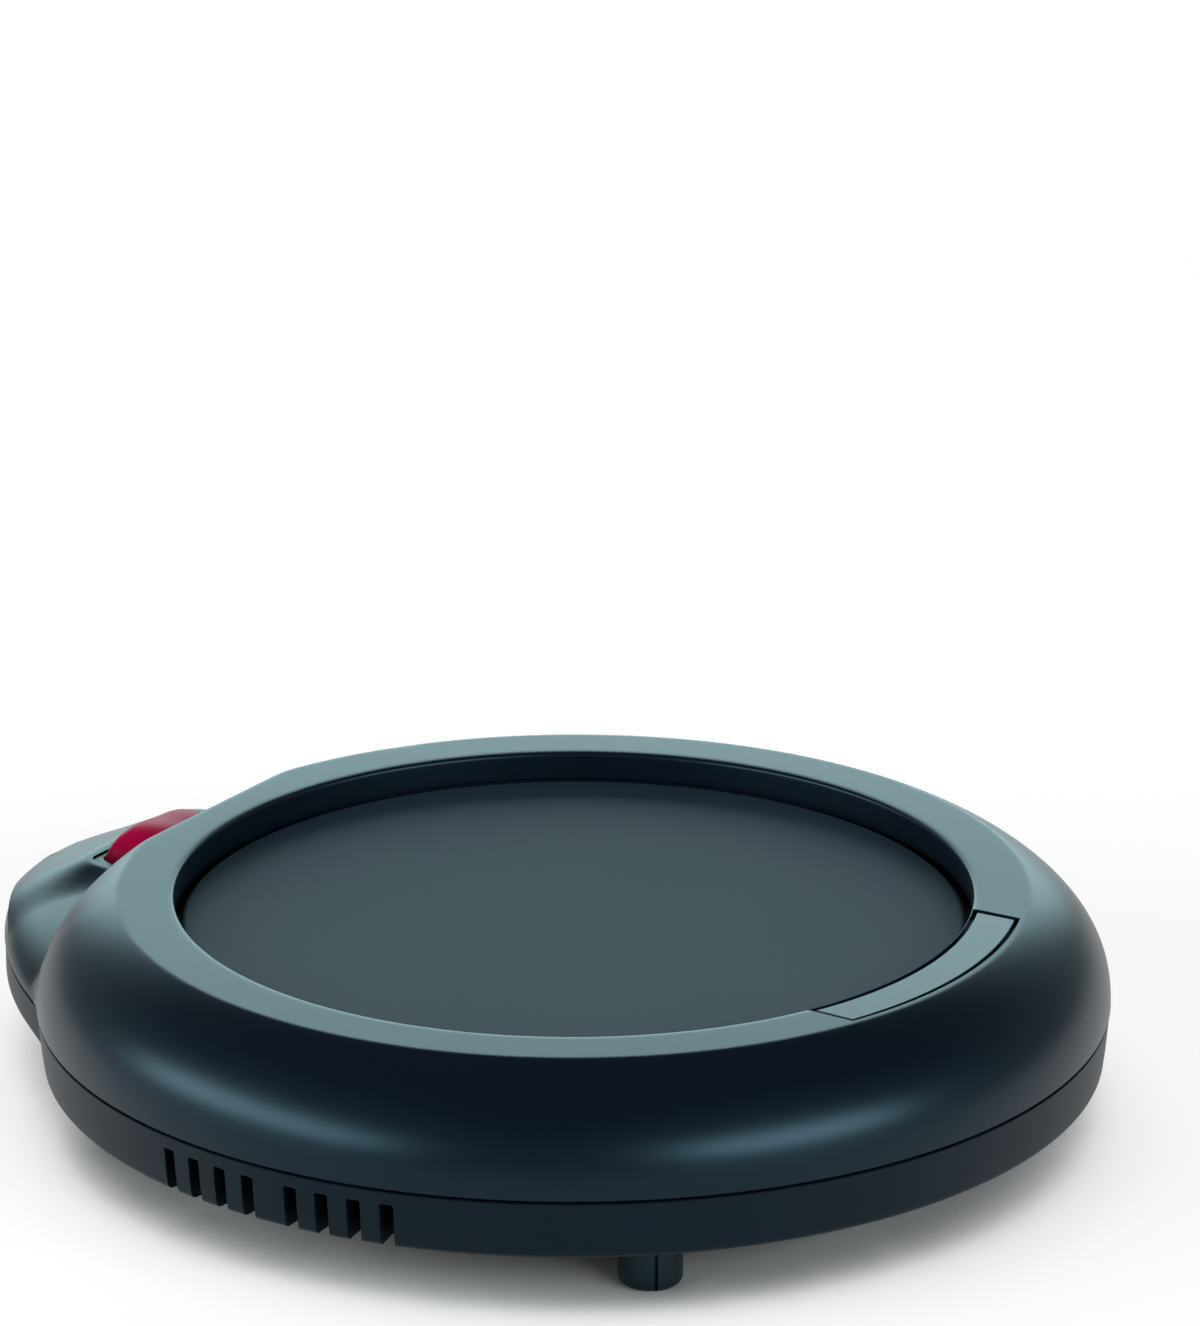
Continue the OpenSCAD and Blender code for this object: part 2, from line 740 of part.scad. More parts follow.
module insulation_pad() {
    color([0.86, 0.85, 0.8]) stack_disc(lower_stack_r, pad_z, pad_t, bush_r + 0.1);
}

module heat_shield() {
    color([0.82, 0.83, 0.85]) {
        stack_disc(lower_stack_r, shield_z, shield_t, bush_r + 0.1);
        annulus(lower_stack_r - shield_t, lower_stack_r, shield_z - shield_lip, shield_lip + eps);
    }
}

module stud_nuts() {
    color([0.75, 0.76, 0.78]) at_angles(stud_angles, stud_at_r) translate([0, 0, nut_z]) difference() {
        cylinder(r = 3.1, h = nut_h, $fn = 6);
        translate([0, 0, -1]) cylinder(r = stud_r + fit, h = nut_h + 2);
    }
}

module element_posts() {
    color([0.8, 0.66, 0.35]) at_posts() {
        translate([0, 0, post_end_z]) cylinder(r = post_r, h = ribbon_z - post_end_z);
    }
}

module post_bushes() {
    color([0.92, 0.91, 0.87]) at_posts()
        annulus(post_r + fit, bush_r, shield_z - 1, mica_lower_z - shield_z + 1);
}

module thermal_fuse() {
    color([0.85, 0.83, 0.78]) translate([0, fuse_y, fuse_z]) rotate([0, 90, 0]) {
        cylinder(r = fuse_r, h = fuse_l, center = true);
        cylinder(r = wire_r / 2, h = 2 * fuse_end, center = true);
    }
}

// A strap under the fuse, with two ears against the heat shield.
module fuse_clip() {
    strap_in = fuse_r + fit;
    strap_out = shield_z - fuse_z;
    color([0.75, 0.76, 0.78]) translate([-fuse_l / 4, fuse_y, fuse_z]) rotate([90, 0, 90])
        linear_extrude(height = fuse_l / 2) difference() {
            union() {
                circle(r = strap_out);
                translate([-strap_out, 0]) square([2 * strap_out, strap_out]);
                translate([-2 * strap_out, fuse_r]) square([4 * strap_out, strap_out - fuse_r]);
            }
            circle(r = strap_in);
            translate([-strap_in, 0]) square([2 * strap_in, 2 * strap_out]);
        }
}

// ---------- Wiring ----------

module wire(points) {
    tube(points, wire_r);
}

// The start of a lead at a splice cap: out of the cap and in towards the middle.
function cap_start(side) = [
    [side * cap_x, cap_y, cap_z], [side * cap_x, cap_y - 2 * bend, cap_z],
    [side * (cap_x - bend), cap_y - 3 * bend, cap_z]
];

// The end of a lead at a terminal, coming from side or from straight ahead.
function blade_end(x, side) = [
    [x + side * bend, blade_y - 2 * bend, blade_z], [x, blade_y - bend, blade_z],
    [x, blade_y - fit, blade_z]
];

module live_lead() {
    color([0.35, 0.2, 0.12])
        wire(concat(cap_start(-1), [[-2 * post_x, cap_y - 2.5 * bend, blade_z]], blade_end(0, -1)));
}

module switched_lead() {
    color([0.35, 0.2, 0.12]) wire(concat(
        [for (i = [2 : -1 : 0]) blade_end(side_x, -1)[i]],
        [[0, post_y, fuse_z], [0, post_y - 2 * bend, fuse_z], [2 * bend, fuse_y + 2 * bend, fuse_z],
         [fuse_end + 2 * bend, fuse_y + bend, fuse_z], [fuse_end + 1.5 * bend, fuse_y, fuse_z],
         [fuse_end + 2 * fit, fuse_y, fuse_z]]
    ));
}

module fuse_lead() {
    color([0.7, 0.68, 0.62]) wire([
        [-fuse_end - 2 * fit, fuse_y, fuse_z], [-fuse_end - 1.5 * bend, fuse_y, fuse_z],
        [-fuse_end - 2 * bend, fuse_y + bend, fuse_z],
        [-post_x - bend, post_y - bend, fuse_z],
        [-post_x - post_r / 2, post_y - post_r, fuse_z]
    ]);
}

module neutral_lead() {
    color([0.2, 0.3, 0.5]) wire(concat(
        [[post_x + post_r, post_y + post_r / 2, fuse_z], [post_x + 2 * bend, post_y + bend, fuse_z]],
        [for (i = [2 : -1 : 0]) cap_start(1)[i]]
    ));
}

// Closed caps on the ends of the two leads that meet the cord's cores.
module splice_caps() {
    color([0.85, 0.85, 0.8]) for (side = [-1, 1])
        translate([side * cap_x, cap_y, cap_z]) rotate([-90, 0, 0]) difference() {
            translate([0, 0, -cap_l / 2]) cylinder(r = cap_r, h = cap_l);
            translate([0, 0, -cap_l]) cylinder(r = wire_r + 2 * fit, h = cap_l + 0.2);
        }
}

// ---------- Rocker switch ----------

// The switch's own frame: the rocker's pivot axis runs along Y through the origin.
module at_pivot() {
    translate([0, rocker_y, pivot_z]) children();
}

function rocker_crest(x, inset) =
    rocker_mid_h - inset + (rocker_lobe_h - rocker_mid_h) * (1 - cos(180 * x / rocker_lobe_x)) / 2;

// Right half of the rocker's outline from its skirt to its middle, seen along the pivot axis.
function rocker_half(inset, skirt) =
    let (
        r = rocker_end_r - inset,
        low = asin(-skirt / r),
        high = asin((rocker_shoulder_h - inset) / r),
        shoulder_x = r * cos(high),
        crest_h = rocker_lobe_h - inset
    )
    concat(
        [for (i = [0 : 6]) let (a = low + (high - low) * i / 6) r * [cos(a), sin(a)]],
        [for (i = [1 : 6])
            let (a = 90 * i / 6)
            [rocker_lobe_x + (shoulder_x - rocker_lobe_x) * cos(a),
             rocker_shoulder_h - inset + (crest_h - rocker_shoulder_h + inset) * sin(a)]],
        [for (i = [7 : -1 : 0]) let (x = rocker_lobe_x * i / 8) [x, rocker_crest(x, inset)]]
    );

module rocker_block(inset, skirt, width) {
    half = rocker_half(inset, skirt);
    n = len(half);
    rotate([90, 0, 0]) linear_extrude(height = width, center = true)
        polygon(concat(half, [for (i = [n - 2 : -1 : 0]) [-half[i][0], half[i][1]]]));
}

module tilted_rocker() {
    at_pivot() rotate([0, -rocker_tilt, 0]) children();
}

module rocker() {
    stem_r = plunger_r + fit + 0.9;
    color([0.72, 0.05, 0.1]) tilted_rocker() {
        difference() {
            union() {
                difference() {
                    rocker_block(0, rocker_skirt, rocker_w);
                    rocker_block(rocker_wall, rocker_skirt + 1, rocker_w - 2 * rocker_wall);
                }
                translate([0, 0, -rocker_skirt]) cylinder(r = stem_r, h = rocker_skirt + rocker_mid_h - 0.5);
            }
            translate([0, 0, -2 * rocker_skirt])
                cylinder(r = plunger_r + fit, h = 2 * rocker_skirt + spring_top);
        }
        for (side = [-1, 1]) translate([0, side * (rocker_w / 2 - 0.2), 0]) rotate([-side * 90, 0, 0])
            cylinder(r = pivot_r, h = rocker_gap + body_wall + 0.2 - fit);
    }
}

module rocker_plunger() {
    stem = plunger_tip - plunger_r - 1;
    color([0.8, 0.66, 0.35]) tilted_rocker() {
        translate([0, 0, plunger_r - plunger_tip]) sphere(r = plunger_r);
        translate([0, 0, plunger_r - plunger_tip]) cylinder(r = plunger_r, h = stem);
    }
}

module plunger_spring() {
    steps = 10;
    coil_r = plunger_r - spring_wire_r - 0.1;
    low = spring_wire_r - 1 + 0.02;
    rise = spring_top - spring_wire_r - low - 0.02;
    n = steps * spring_turns;
    color([0.8, 0.8, 0.82]) tilted_rocker()
        tube([for (i = [0 : n]) [coil_r * cos(360 * i / steps), coil_r * sin(360 * i / steps),
                                 low + rise * i / n]], spring_wire_r, 6);
}

module switch_body() {
    // under the roof's sloping inner face, at the rear catch's outer corners
    reach = norm([ledge_w / 2, rocker_y + body_out_y + ledge - pod_tip_centre_y]);
    rear_ledge_z = slope_height(pod_tip_r - reach - wall, roof_z) - 3 * fit;
    color([0.05, 0.05, 0.06]) difference() {
        union() {
            translate([-body_out_x, rocker_y - body_out_y, body_base_z])
                cube([2 * body_out_x, 2 * body_out_y, pod_top_z + body_rim - body_base_z]);
            translate([-ledge_w / 2, rocker_y - body_out_y - ledge, roof_z - fit - ledge_h])
                cube([ledge_w, ledge + eps, ledge_h]);
            translate([-ledge_w / 2, rocker_y + body_out_y - eps, rear_ledge_z - ledge_h])
                cube([ledge_w, ledge + eps, ledge_h]);
        }
        translate([-body_in_x, rocker_y - body_in_y, body_floor_z])
            cube([2 * body_in_x, 2 * body_in_y, ring_h]);
        at_pivot() rotate([90, 0, 0])
            cylinder(r = pivot_r + pivot_gap, h = 3 * body_out_y, center = true);
        for (x = [0, side_x])
            translate([x - blade_w / 2 - fit, blade_y, body_floor_z - fit])
                cube([blade_w + 2 * fit, rocker_y - blade_y, terminal_t + 2 * fit]);
    }
}

// A flat blade from the switch's floor out through its wall.
module blade(x, t) {
    translate([x - blade_w / 2, blade_y, body_floor_z])
        cube([blade_w, rocker_y + contact_w / 2 - blade_y, t]);
}

module centre_terminal() {
    color([0.8, 0.66, 0.35]) {
        blade(0, terminal_t);
        translate([0, rocker_y, body_floor_z + terminal_t]) rotate([90, 0, 0])
            cylinder(r = ridge_r, h = contact_w, center = true);
    }
}

module side_terminal() {
    color([0.8, 0.66, 0.35]) blade(side_x, terminal_t - 0.15);
}

module moving_contact() {
    color([0.8, 0.66, 0.35]) translate([0, rocker_y, contact_z - fit]) rotate([0, contact_tilt, 0]) {
        translate([-contact_half_l, -contact_w / 2, fit]) cube([2 * contact_half_l, contact_w, contact_t]);
        for (side = [-1, 1])
            translate([side * (contact_half_l - contact_t / 2), 0, fit + contact_t])
                cube([contact_t, contact_w, 2 * contact_t], center = true);
    }
}

module neon_lamp() {
    color([0.95, 0.55, 0.35]) translate([lamp_x, rocker_y, body_floor_z]) {
        for (side = [-1, 1]) translate([0, side * lamp_r / 2, 0]) cylinder(r = 0.25, h = 1);
        translate([0, 0, 0.6]) cylinder(r = lamp_r, h = lamp_h - lamp_r);
        translate([0, 0, 0.6 + lamp_h - lamp_r]) sphere(r = lamp_r);
    }
}

// ---------- Cord gland, screws and feet ----------

module cord_gland() {
    color([0.07, 0.08, 0.09]) at_gland() difference() {
        union() {
            gland_neck(0, 0, gland_l - gland_collar);
            translate([0, 0, gland_l - gland_collar]) cylinder(r = gland_collar_r, h = gland_collar);
        }
        translate([0, 0, -1]) cylinder(r = cord_bore_r, h = gland_l + 2);
    }
}

module housing_screws() {
    head_z = joint_z - boss_floor;
    color([0.75, 0.76, 0.78]) {
        at_angles(ring_screw_angles, ring_screw_r)
            translate([0, 0, head_z]) screw(ring_boss_top_z - head_z - screw_end_gap);
        at_pod_screws() translate([0, 0, head_z]) screw(pod_boss_top_z - head_z - screw_end_gap);
    }
}

module at_feet() {
    at_angles([foot_angle, 180 - foot_angle, 180 + foot_angle, -foot_angle], foot_at_r) children();
}

module rubber_feet() {
    r = foot_d / 2;
    color([0.06, 0.08, 0.1]) at_feet() rotate_extrude() polygon(concat(
        [[0, 0]],
        [for (i = [0 : 5]) let (a = 90 * i / 5)
            [r - foot_edge_r * (1 - sin(a)), foot_edge_r * (1 - cos(a))]],
        [[r, base_z], [foot_stem_r - fit, base_z], [foot_stem_r - fit, floor_top_z],
         [foot_stem_r + 0.8, floor_top_z], [foot_stem_r - 0.6, floor_top_z + 1.4],
         [0, floor_top_z + 1.4]]
    ));
}

upper_housing();
lower_housing();
label_plate();
heating_plate();
plate_seal();
plate_retainer();
retainer_screws();
mica_upper();
heating_ribbon();
mica_lower();
clamp_plate();
insulation_pad();
heat_shield();
stud_nuts();
element_posts();
post_bushes();
thermal_fuse();
fuse_clip();
live_lead();
switched_lead();
fuse_lead();
neutral_lead();
splice_caps();
switch_body();
rocker();
rocker_plunger();
plunger_spring();
moving_contact();
centre_terminal();
side_terminal();
neon_lamp();
cord_gland();
housing_screws();
rubber_feet();
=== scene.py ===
"""Electric mug warmer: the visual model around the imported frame.

Lengths in the shape code are millimetres in the part's own frame (Z is the well's axis, +Y points to
the switch pod, z = 0 is the table). They turn into metres where a mesh is made.
"""

import math

import bmesh
import bpy
import numpy as np
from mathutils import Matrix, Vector
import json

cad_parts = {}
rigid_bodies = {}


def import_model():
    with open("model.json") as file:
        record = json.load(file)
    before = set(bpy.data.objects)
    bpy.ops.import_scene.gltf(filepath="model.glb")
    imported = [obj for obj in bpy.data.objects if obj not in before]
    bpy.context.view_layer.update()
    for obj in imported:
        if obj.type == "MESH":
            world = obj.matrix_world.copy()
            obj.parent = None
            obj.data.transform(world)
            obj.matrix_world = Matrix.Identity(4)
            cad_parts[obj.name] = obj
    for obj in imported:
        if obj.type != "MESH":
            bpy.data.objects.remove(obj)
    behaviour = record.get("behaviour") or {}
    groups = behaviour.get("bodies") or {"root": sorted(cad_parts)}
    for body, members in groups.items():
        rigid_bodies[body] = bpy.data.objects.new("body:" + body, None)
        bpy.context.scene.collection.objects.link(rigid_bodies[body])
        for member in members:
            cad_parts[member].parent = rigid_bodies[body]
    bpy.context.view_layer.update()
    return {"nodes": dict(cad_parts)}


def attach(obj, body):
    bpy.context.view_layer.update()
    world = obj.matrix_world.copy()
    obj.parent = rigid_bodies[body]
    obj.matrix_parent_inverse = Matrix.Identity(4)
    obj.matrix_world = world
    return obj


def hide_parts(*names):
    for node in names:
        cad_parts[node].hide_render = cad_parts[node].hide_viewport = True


for factory_object in list(bpy.data.objects):
    bpy.data.objects.remove(factory_object)
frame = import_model()
NODES = frame["nodes"]
MM = 0.001

# ---------- Sizes, as in the CAD source ----------

WELL_R, LIP_R = 47.8, 0.4
LAND_R, RING_R = 54.7, 64.5
RING_H, JOINT_Z, PLATE_Z = 27.9, 14.5, 24.5
WALL, JOINT_GAP = 2.0, 0.35
SHOULDER_RISE, SHOULDER_OUT = 0.81, 1.8         # the powers of the shoulder's curve
SEAT_Z, SEAT_STEP = 22.3, 0.5                   # the well's wall ends on the plate's seal
BASE_Z, BASE_R, BASE_TOP_R = 7.2, 63.8, 64.4
BASE_EDGE_R = 0.8
LOWER_TOP_Z = JOINT_Z - JOINT_GAP
TONGUE_H, TONGUE_W, TONGUE_GAP = 1.5, 1.1, 0.4    # the lower housing's tongue, inside the upper wall
POD_TONGUE_IN = 1.2                             # how far the tongue stands in from the pod's wall
POD_TOP_Z, POD_BASE_Z, POD_FLOOR = 21.8, 10.0, 1.4
POD_EDGE_R, POD_HALF_ANGLE = 0.7, math.radians(60)
SIDE_R, SIDE_X, SIDE_Y = 80.0, 26.6, 5.4
TIP_R = 21.5
TIP_Y = SIDE_Y + math.sqrt((SIDE_R - TIP_R) ** 2 - SIDE_X**2)
TIP_ANGLE = math.atan2(SIDE_X, TIP_Y - SIDE_Y)
REAR_Y = 53.0
ROCKER_Y, PIVOT_Z = 60.25, 20.5
ROCKER_NEAR_Y = 54.5                            # the rocker's side next to the rear wall
ROCKER_TILT = math.radians(7)                   # the rocker's stem and plunger at rest
PIN_R, PIN_REACH = 0.95, 1.25
STEM_R, STEM_LOW, STEM_BORE_R, STEM_BORE_TOP = 2.15, -2.9, 1.25, 1.2
BODY_X, BODY_Y = 12.1, 7.1                      # the switch body's half length and half width
LABEL_IN, LABEL_OUT = 48.5, 53.5
LABEL_END_IN, LABEL_END_OUT = 18.8, 19.0        # half the label's length at its two arcs
LABEL_LOW, LABEL_T = 27.1, 0.7
PLATE_R, PLATE_EDGE, PLATE_T = 47.1, 0.8, 1.2
FLANGE_IN, FLANGE_R, FLANGE_LOW, FLANGE_Z = 45.9, 50.3, 20.3, 21.5      # the plate's stepped-down rim
STUD_AT_R, STUD_R, STUD_LOW, STUD_CHAMFER = 34.3, 1.25, 14.6, 0.2
STUD_ANGLES = (45, 135, 225, 315)
RING_SCREWS, RING_SCREW_R = (80, 150, 210, 280), 56.0
POD_SCREW_X = 16.6
BOSS_R, BOSS_BORE_R, RING_BOSS_TOP, POD_BOSS_TOP = 3.0, 1.3, 24.0, 19.2
RETAINER_BOSSES, RETAINER_AT_R = (60, 180, 300), 54.1
RETAINER_BOSS_R, RETAINER_LOW, RETAINER_TOP = 2.7, 20.3, 26.1
SLEEVE_R, SCREW_BORE_R, HEAD_BORE_R, HEAD_TOP = 3.9, 1.4, 3.0, 12.4     # the lower housing's screw sleeves
FEET, FOOT_AT_R = (48, 132, 228, 312), 54.0
FOOT_R, FOOT_EDGE, FOOT_HOLE_R, FOOT_TOP = 3.75, 1.0, 2.2, 10.6
VENT_REACH, VENT_W, VENT_TOP_Z = 4.5, 1.7, 12.6
VENT_FIRST, VENT_STEP = 2.65, 3.62              # degrees from the group's middle, and between slots
VENT_SLOTS, VENT_SIDES, VENT_CORNER = 4, (90, 270), 0.25
GLAND_HALF, GLAND_Z, GLAND_FIT = 2.8, 15.0, 0.05
GLAND_IN_Y, CORD_BORE_R = 70.2, 2.0

# ---------- Forms that only the scene has ----------

EDGE_BLUR, FOOT_BLUR = 0.20, 0.55               # soften the rear wall's top edge, and its foot
FOOT_NEAR = 1.6                                 # the foot's blur has faded out at this distance
EDGE_W, EDGE_DROP = 0.5, 0.07                   # a nearly flat bevel along that edge and the well's lip
VALLEY_BLUR = 1.3                               # softens the valley between the pod and the ring
VALLEY_END, VALLEY_FADE = 47, 4                 # degrees from the pod's axis
POD_SLOPE_W, POD_REACH = 21.0, 21.3             # the slope's width, and how far in it may start
POD_FALL, POD_ROUND = 1.7, 1.8                  # the powers of the pod's slope
POD_ROOF_IN = 30                                # how far in its section starts, inside the ring
CAP_W, CAP_HALF_L, CAP_TOP = 8.8, 9.2, 4.6      # the rocker as it shows, lower and slimmer
CAP_VALLEY, CAP_VALLEY_X = 0.15, 4.6
CAP_WALL, CAP_SKIRT, CAP_EDGE, CAP_CROWN = 1.1, 2.9, 2.3, 0.45
CAP_ROUND_NEAR, CAP_ROUND_FAR, CAP_END = 4, 2.6, 0.2
CAP_TILT = math.radians(-3.5)                   # its near end stands a little higher at rest
RAIL_GAP, RAIL_W, RAIL_LOW, RAIL_HIGH = 0.2, 0.9, 16.2, 21.6            # the switch's rim round it
RIM_X = CAP_HALF_L + RAIL_GAP + RAIL_W
RIM_NEAR_Y = ROCKER_Y - BODY_Y
RIM_FAR_Y = ROCKER_NEAR_Y + CAP_W + RAIL_GAP + RAIL_W
RIM_CORNER, RIM_FIT = 1.2, 0.08
SEAT_RIM, SEAT_BACK, SEAT_CORNER, SEAT_FALL = 1.0, 0.8, 3.0, 0.6        # the raised seat round the rim
SEAT_BLEND = 1.8
BUSH_SINK = 0.15                                # how far the outlet bush lies below the pod's skin
JOINT_EDGE, SKIN_EDGE = 0.1, 0.12               # the small chamfers at the joint line
PAN_IN = 2.4                                    # the pan's floor starts this far inside its rim
PLATE_FLAT_R = 46                               # the plate's flat top is drawn in rings out to here
BOSS_ROOF = 0.8                                 # the closed end of a screw boss
GLAND_CUT = (69, 82)                            # the ends of the bush's cutter along Y
LABEL_GAP, LABEL_TRIM = 0.45, 0.15              # the recess is wider than the label, which is trimmed
SLIT_HALF, SLIT_FROM, SLIT_TO = 0.22, 2.9, 5    # the moulding slit down each foot's outer side

# ---------- Light ----------

FLOOR_HALF, FLOOR_T = 4000, 20
FLOOR_COLOR = (0.45, 0.405, 0.40)
FLOOR_GLOW = 0.62
SHADOW_REACH = 0.016                # metres
SHADOW_FROM, SHADOW_TO = 0.2, 0.7   # the share of open sky where the glow starts, and where it's full
ROOM_TINT = (0.8, 0.97, 1.0)
ROOM_STOPS = ((0.0, 0.6), (0.02, 0.28), (0.42, 0.28), (0.6, 0.06))
WARM, COOL, TEAL = (1.0, 0.965, 0.955), (0.82, 0.97, 1.0), (0.65, 0.97, 1.0)
LAMP_DISTANCE = 1.1
SOFTBOXES = (
    # name, degrees right of the camera, degrees up, width, height (m), radiance, tint, mirrored
    ("key", 46, 21, 0.85, 0.30, 10.8, COOL, True),
    ("fill", -70, 20, 1.20, 0.28, 9.6, COOL, True),
    ("back", 180, 15, 1.10, 0.44, 3.5, TEAL, True),
    ("top", 200, 76, 0.80, 0.80, 2.4, WARM, False),
)


# ---------- Mesh helpers ----------

def new_object(name, verts, faces, smooth=True):
    mesh = bpy.data.meshes.new(name)
    mesh.from_pydata((np.asarray(verts, float) * MM).tolist(), [], faces)
    mesh.validate()
    mesh.polygons.foreach_set("use_smooth", [smooth] * len(mesh.polygons))
    obj = bpy.data.objects.new(name, mesh)
    bpy.context.scene.collection.objects.link(obj)
    return obj


def fix_normals(obj, sharp_deg=35):
    """Turns every face outward and marks the edges that are sharper than an angle."""
    bm = bmesh.new()
    bm.from_mesh(obj.data)
    bmesh.ops.remove_doubles(bm, verts=bm.verts, dist=1e-7)
    bmesh.ops.dissolve_degenerate(bm, dist=1e-7, edges=bm.edges)
    bmesh.ops.recalc_face_normals(bm, faces=bm.faces)
    limit = math.radians(sharp_deg)
    for edge in bm.edges:
        edge.smooth = len(edge.link_faces) == 2 and edge.calc_face_angle(0) < limit
    bm.to_mesh(obj.data)
    bm.free()
    return obj


def grid_faces(columns, rows, wrap_columns=True, wrap_rows=False):
    """Quads of a grid whose vertex (c, r) is number c * rows + r."""
    faces = []
    for c in range(columns if wrap_columns else columns - 1):
        d = (c + 1) % columns
        for r in range(rows if wrap_rows else rows - 1):
            s = (r + 1) % rows
            faces.append((c * rows + r, d * rows + r, d * rows + s, c * rows + s))
    return faces


def revolve(name, profile, steps=192, at=(0, 0)):
    """A surface of revolution about a vertical axis. The profile is a closed loop, or it starts and
    ends on the axis."""
    profile = np.asarray(profile, float)
    on_axis = profile[0, 0] < 1e-9 and profile[-1, 0] < 1e-9
    inner = profile[1:-1] if on_axis else profile
    rows = len(inner)
    angle = np.linspace(0, 2 * np.pi, steps, endpoint=False)
    verts = np.zeros((steps, rows, 3))
    verts[..., 0] = at[0] + np.outer(np.sin(angle), inner[:, 0])
    verts[..., 1] = at[1] + np.outer(np.cos(angle), inner[:, 0])
    verts[..., 2] = inner[:, 1]
    verts = verts.reshape(-1, 3)
    faces = grid_faces(steps, rows, wrap_rows=not on_axis)
    if on_axis:
        first, last = len(verts), len(verts) + 1
        verts = np.vstack([verts, [at[0], at[1], profile[0, 1]], [at[0], at[1], profile[-1, 1]]])
        for c in range(steps):
            d = (c + 1) % steps
            faces.append((first, d * rows, c * rows))
            faces.append((last, c * rows + rows - 1, d * rows + rows - 1))
    return fix_normals(new_object(name, verts, faces))


def rounded(points, radii, steps=5):
    """A polyline with its corners rounded: radii has one radius for each point, 0 at the ends."""
    out = []
    pts = [np.asarray(p, float) for p in points]
    for i, p in enumerate(pts):
        if radii[i] <= 0 or i in (0, len(pts) - 1):
            out.append(p)
            continue
        a, b = pts[i - 1] - p, pts[i + 1] - p
        la, lb = np.linalg.norm(a), np.linalg.norm(b)
        a, b = a / la, b / lb
        half = math.acos(np.clip(a @ b, -1, 1)) / 2
        cut = min(radii[i] / math.tan(half), 0.49 * la, 0.49 * lb)
        radius = cut * math.tan(half)
        middle = p + (a + b) / np.linalg.norm(a + b) * radius / math.sin(half)
        start, end = p + a * cut - middle, p + b * cut - middle
        turn = math.pi - 2 * half
        for k in range(steps + 1):
            t = k / steps
            w = (start * math.sin((1 - t) * turn) + end * math.sin(t * turn)) / math.sin(turn)
            out.append(middle + w)
    return np.array(out)


def baked(obj, modifier):
    """Applies a modifier to the object's mesh."""
    graph = bpy.context.evaluated_depsgraph_get()
    mesh = bpy.data.meshes.new_from_object(obj.evaluated_get(graph))
    obj.modifiers.remove(modifier)
    old = obj.data
    obj.data = mesh
    bpy.data.meshes.remove(old)
    return obj


def combine(obj, other, operation):
    """Joins or takes away the other object's solid, and deletes the other object."""
    mod = obj.modifiers.new("combine", "BOOLEAN")
    mod.operation, mod.solver, mod.object = operation, "EXACT", other
    baked(obj, mod)
    bpy.data.objects.remove(other)
    return obj


def cut_with(obj, cutter):
    return combine(obj, cutter, "DIFFERENCE")


def prism(name, outline, low, high, to_world=None):
    """A straight prism over a plan outline, or over one drawn in another plane."""
    n = len(outline)
    verts = [(x, y, low) for x, y in outline] + [(x, y, high) for x, y in outline]
    if to_world:
        verts = [to_world(*v) for v in verts]
    faces = [tuple(range(n - 1, -1, -1)), tuple(range(n, 2 * n))]
    faces += [(i, (i + 1) % n, n + (i + 1) % n, n + i) for i in range(n)]
    return fix_normals(new_object(name, verts, faces))


def circle(radius, steps=48, at=(0, 0)):
    return [
        (at[0] + radius * math.cos(a), at[1] + radius * math.sin(a))
        for a in np.linspace(0, 2 * math.pi, steps, endpoint=False)
    ]


def joined(name, parts):
    """One object from several that don't overlap."""
    bm = bmesh.new()
    for part in parts:
        bm.from_mesh(part.data)
        bpy.data.objects.remove(part)
    mesh = bpy.data.meshes.new(name)
    bm.to_mesh(mesh)
    bm.free()
    obj = bpy.data.objects.new(name, mesh)
    bpy.context.scene.collection.objects.link(obj)
    return obj


# ---------- Housing sections ----------

def shoulder(r_side, r_top, z_top, steps=60):
    """The ring's rounded shoulder, from the land down to the joint line."""
    a = np.linspace(0, math.pi / 2, steps)
    rise = (np.cos(a) ** SHOULDER_RISE) * (z_top - JOINT_Z)
    return np.stack([r_top + (r_side - r_top) * np.sin(a) ** SHOULDER_OUT, JOINT_Z + rise], 1)


def pod_radius(phi, inset):
    """How far out along a plan direction the pod's outline lies, drawn in by inset."""
    u = np.array([abs(math.sin(phi)), math.cos(phi)])

    def reach(centre, radius):
        along = u @ centre
        under = radius**2 - centre @ centre + along**2
        return along + math.sqrt(under) if under > 0 else 0.0

    tip = reach(np.array([0, TIP_Y]), TIP_R - inset)
    hit = u * tip - np.array([0, TIP_Y])
    if tip > 0 and math.atan2(hit[0], hit[1]) <= TIP_ANGLE:
        return tip
    return reach(np.array([-SIDE_X, SIDE_Y]), SIDE_R - inset)


def pod_slope(phi, inset, z_top, steps=44):
    """The pod's section from where its roof starts to fall, down to the joint line."""
    out = np.sin(np.linspace(0, math.pi / 2, steps))
    inward = np.minimum(inset + POD_SLOPE_W * (1 - out), POD_REACH)
    height = JOINT_Z + (z_top - JOINT_Z) * (1 - out**POD_FALL) ** (1 / POD_ROUND)
    return np.array([(pod_radius(phi, k), z) for k, z in zip(inward, height)])


def dense(points, step=0.05):
    """The same polyline with points close together."""
    p = np.asarray(points, float)
    length = np.r_[0, np.cumsum(np.linalg.norm(np.diff(p, axis=0), axis=1))]
    keep = np.r_[True, np.diff(length) > 1e-9]
    p, length = p[keep], length[keep]
    s = np.linspace(0, length[-1], max(2, int(length[-1] / step)))
    return np.stack([np.interp(s, length, p[:, k]) for k in range(p.shape[1])], 1)


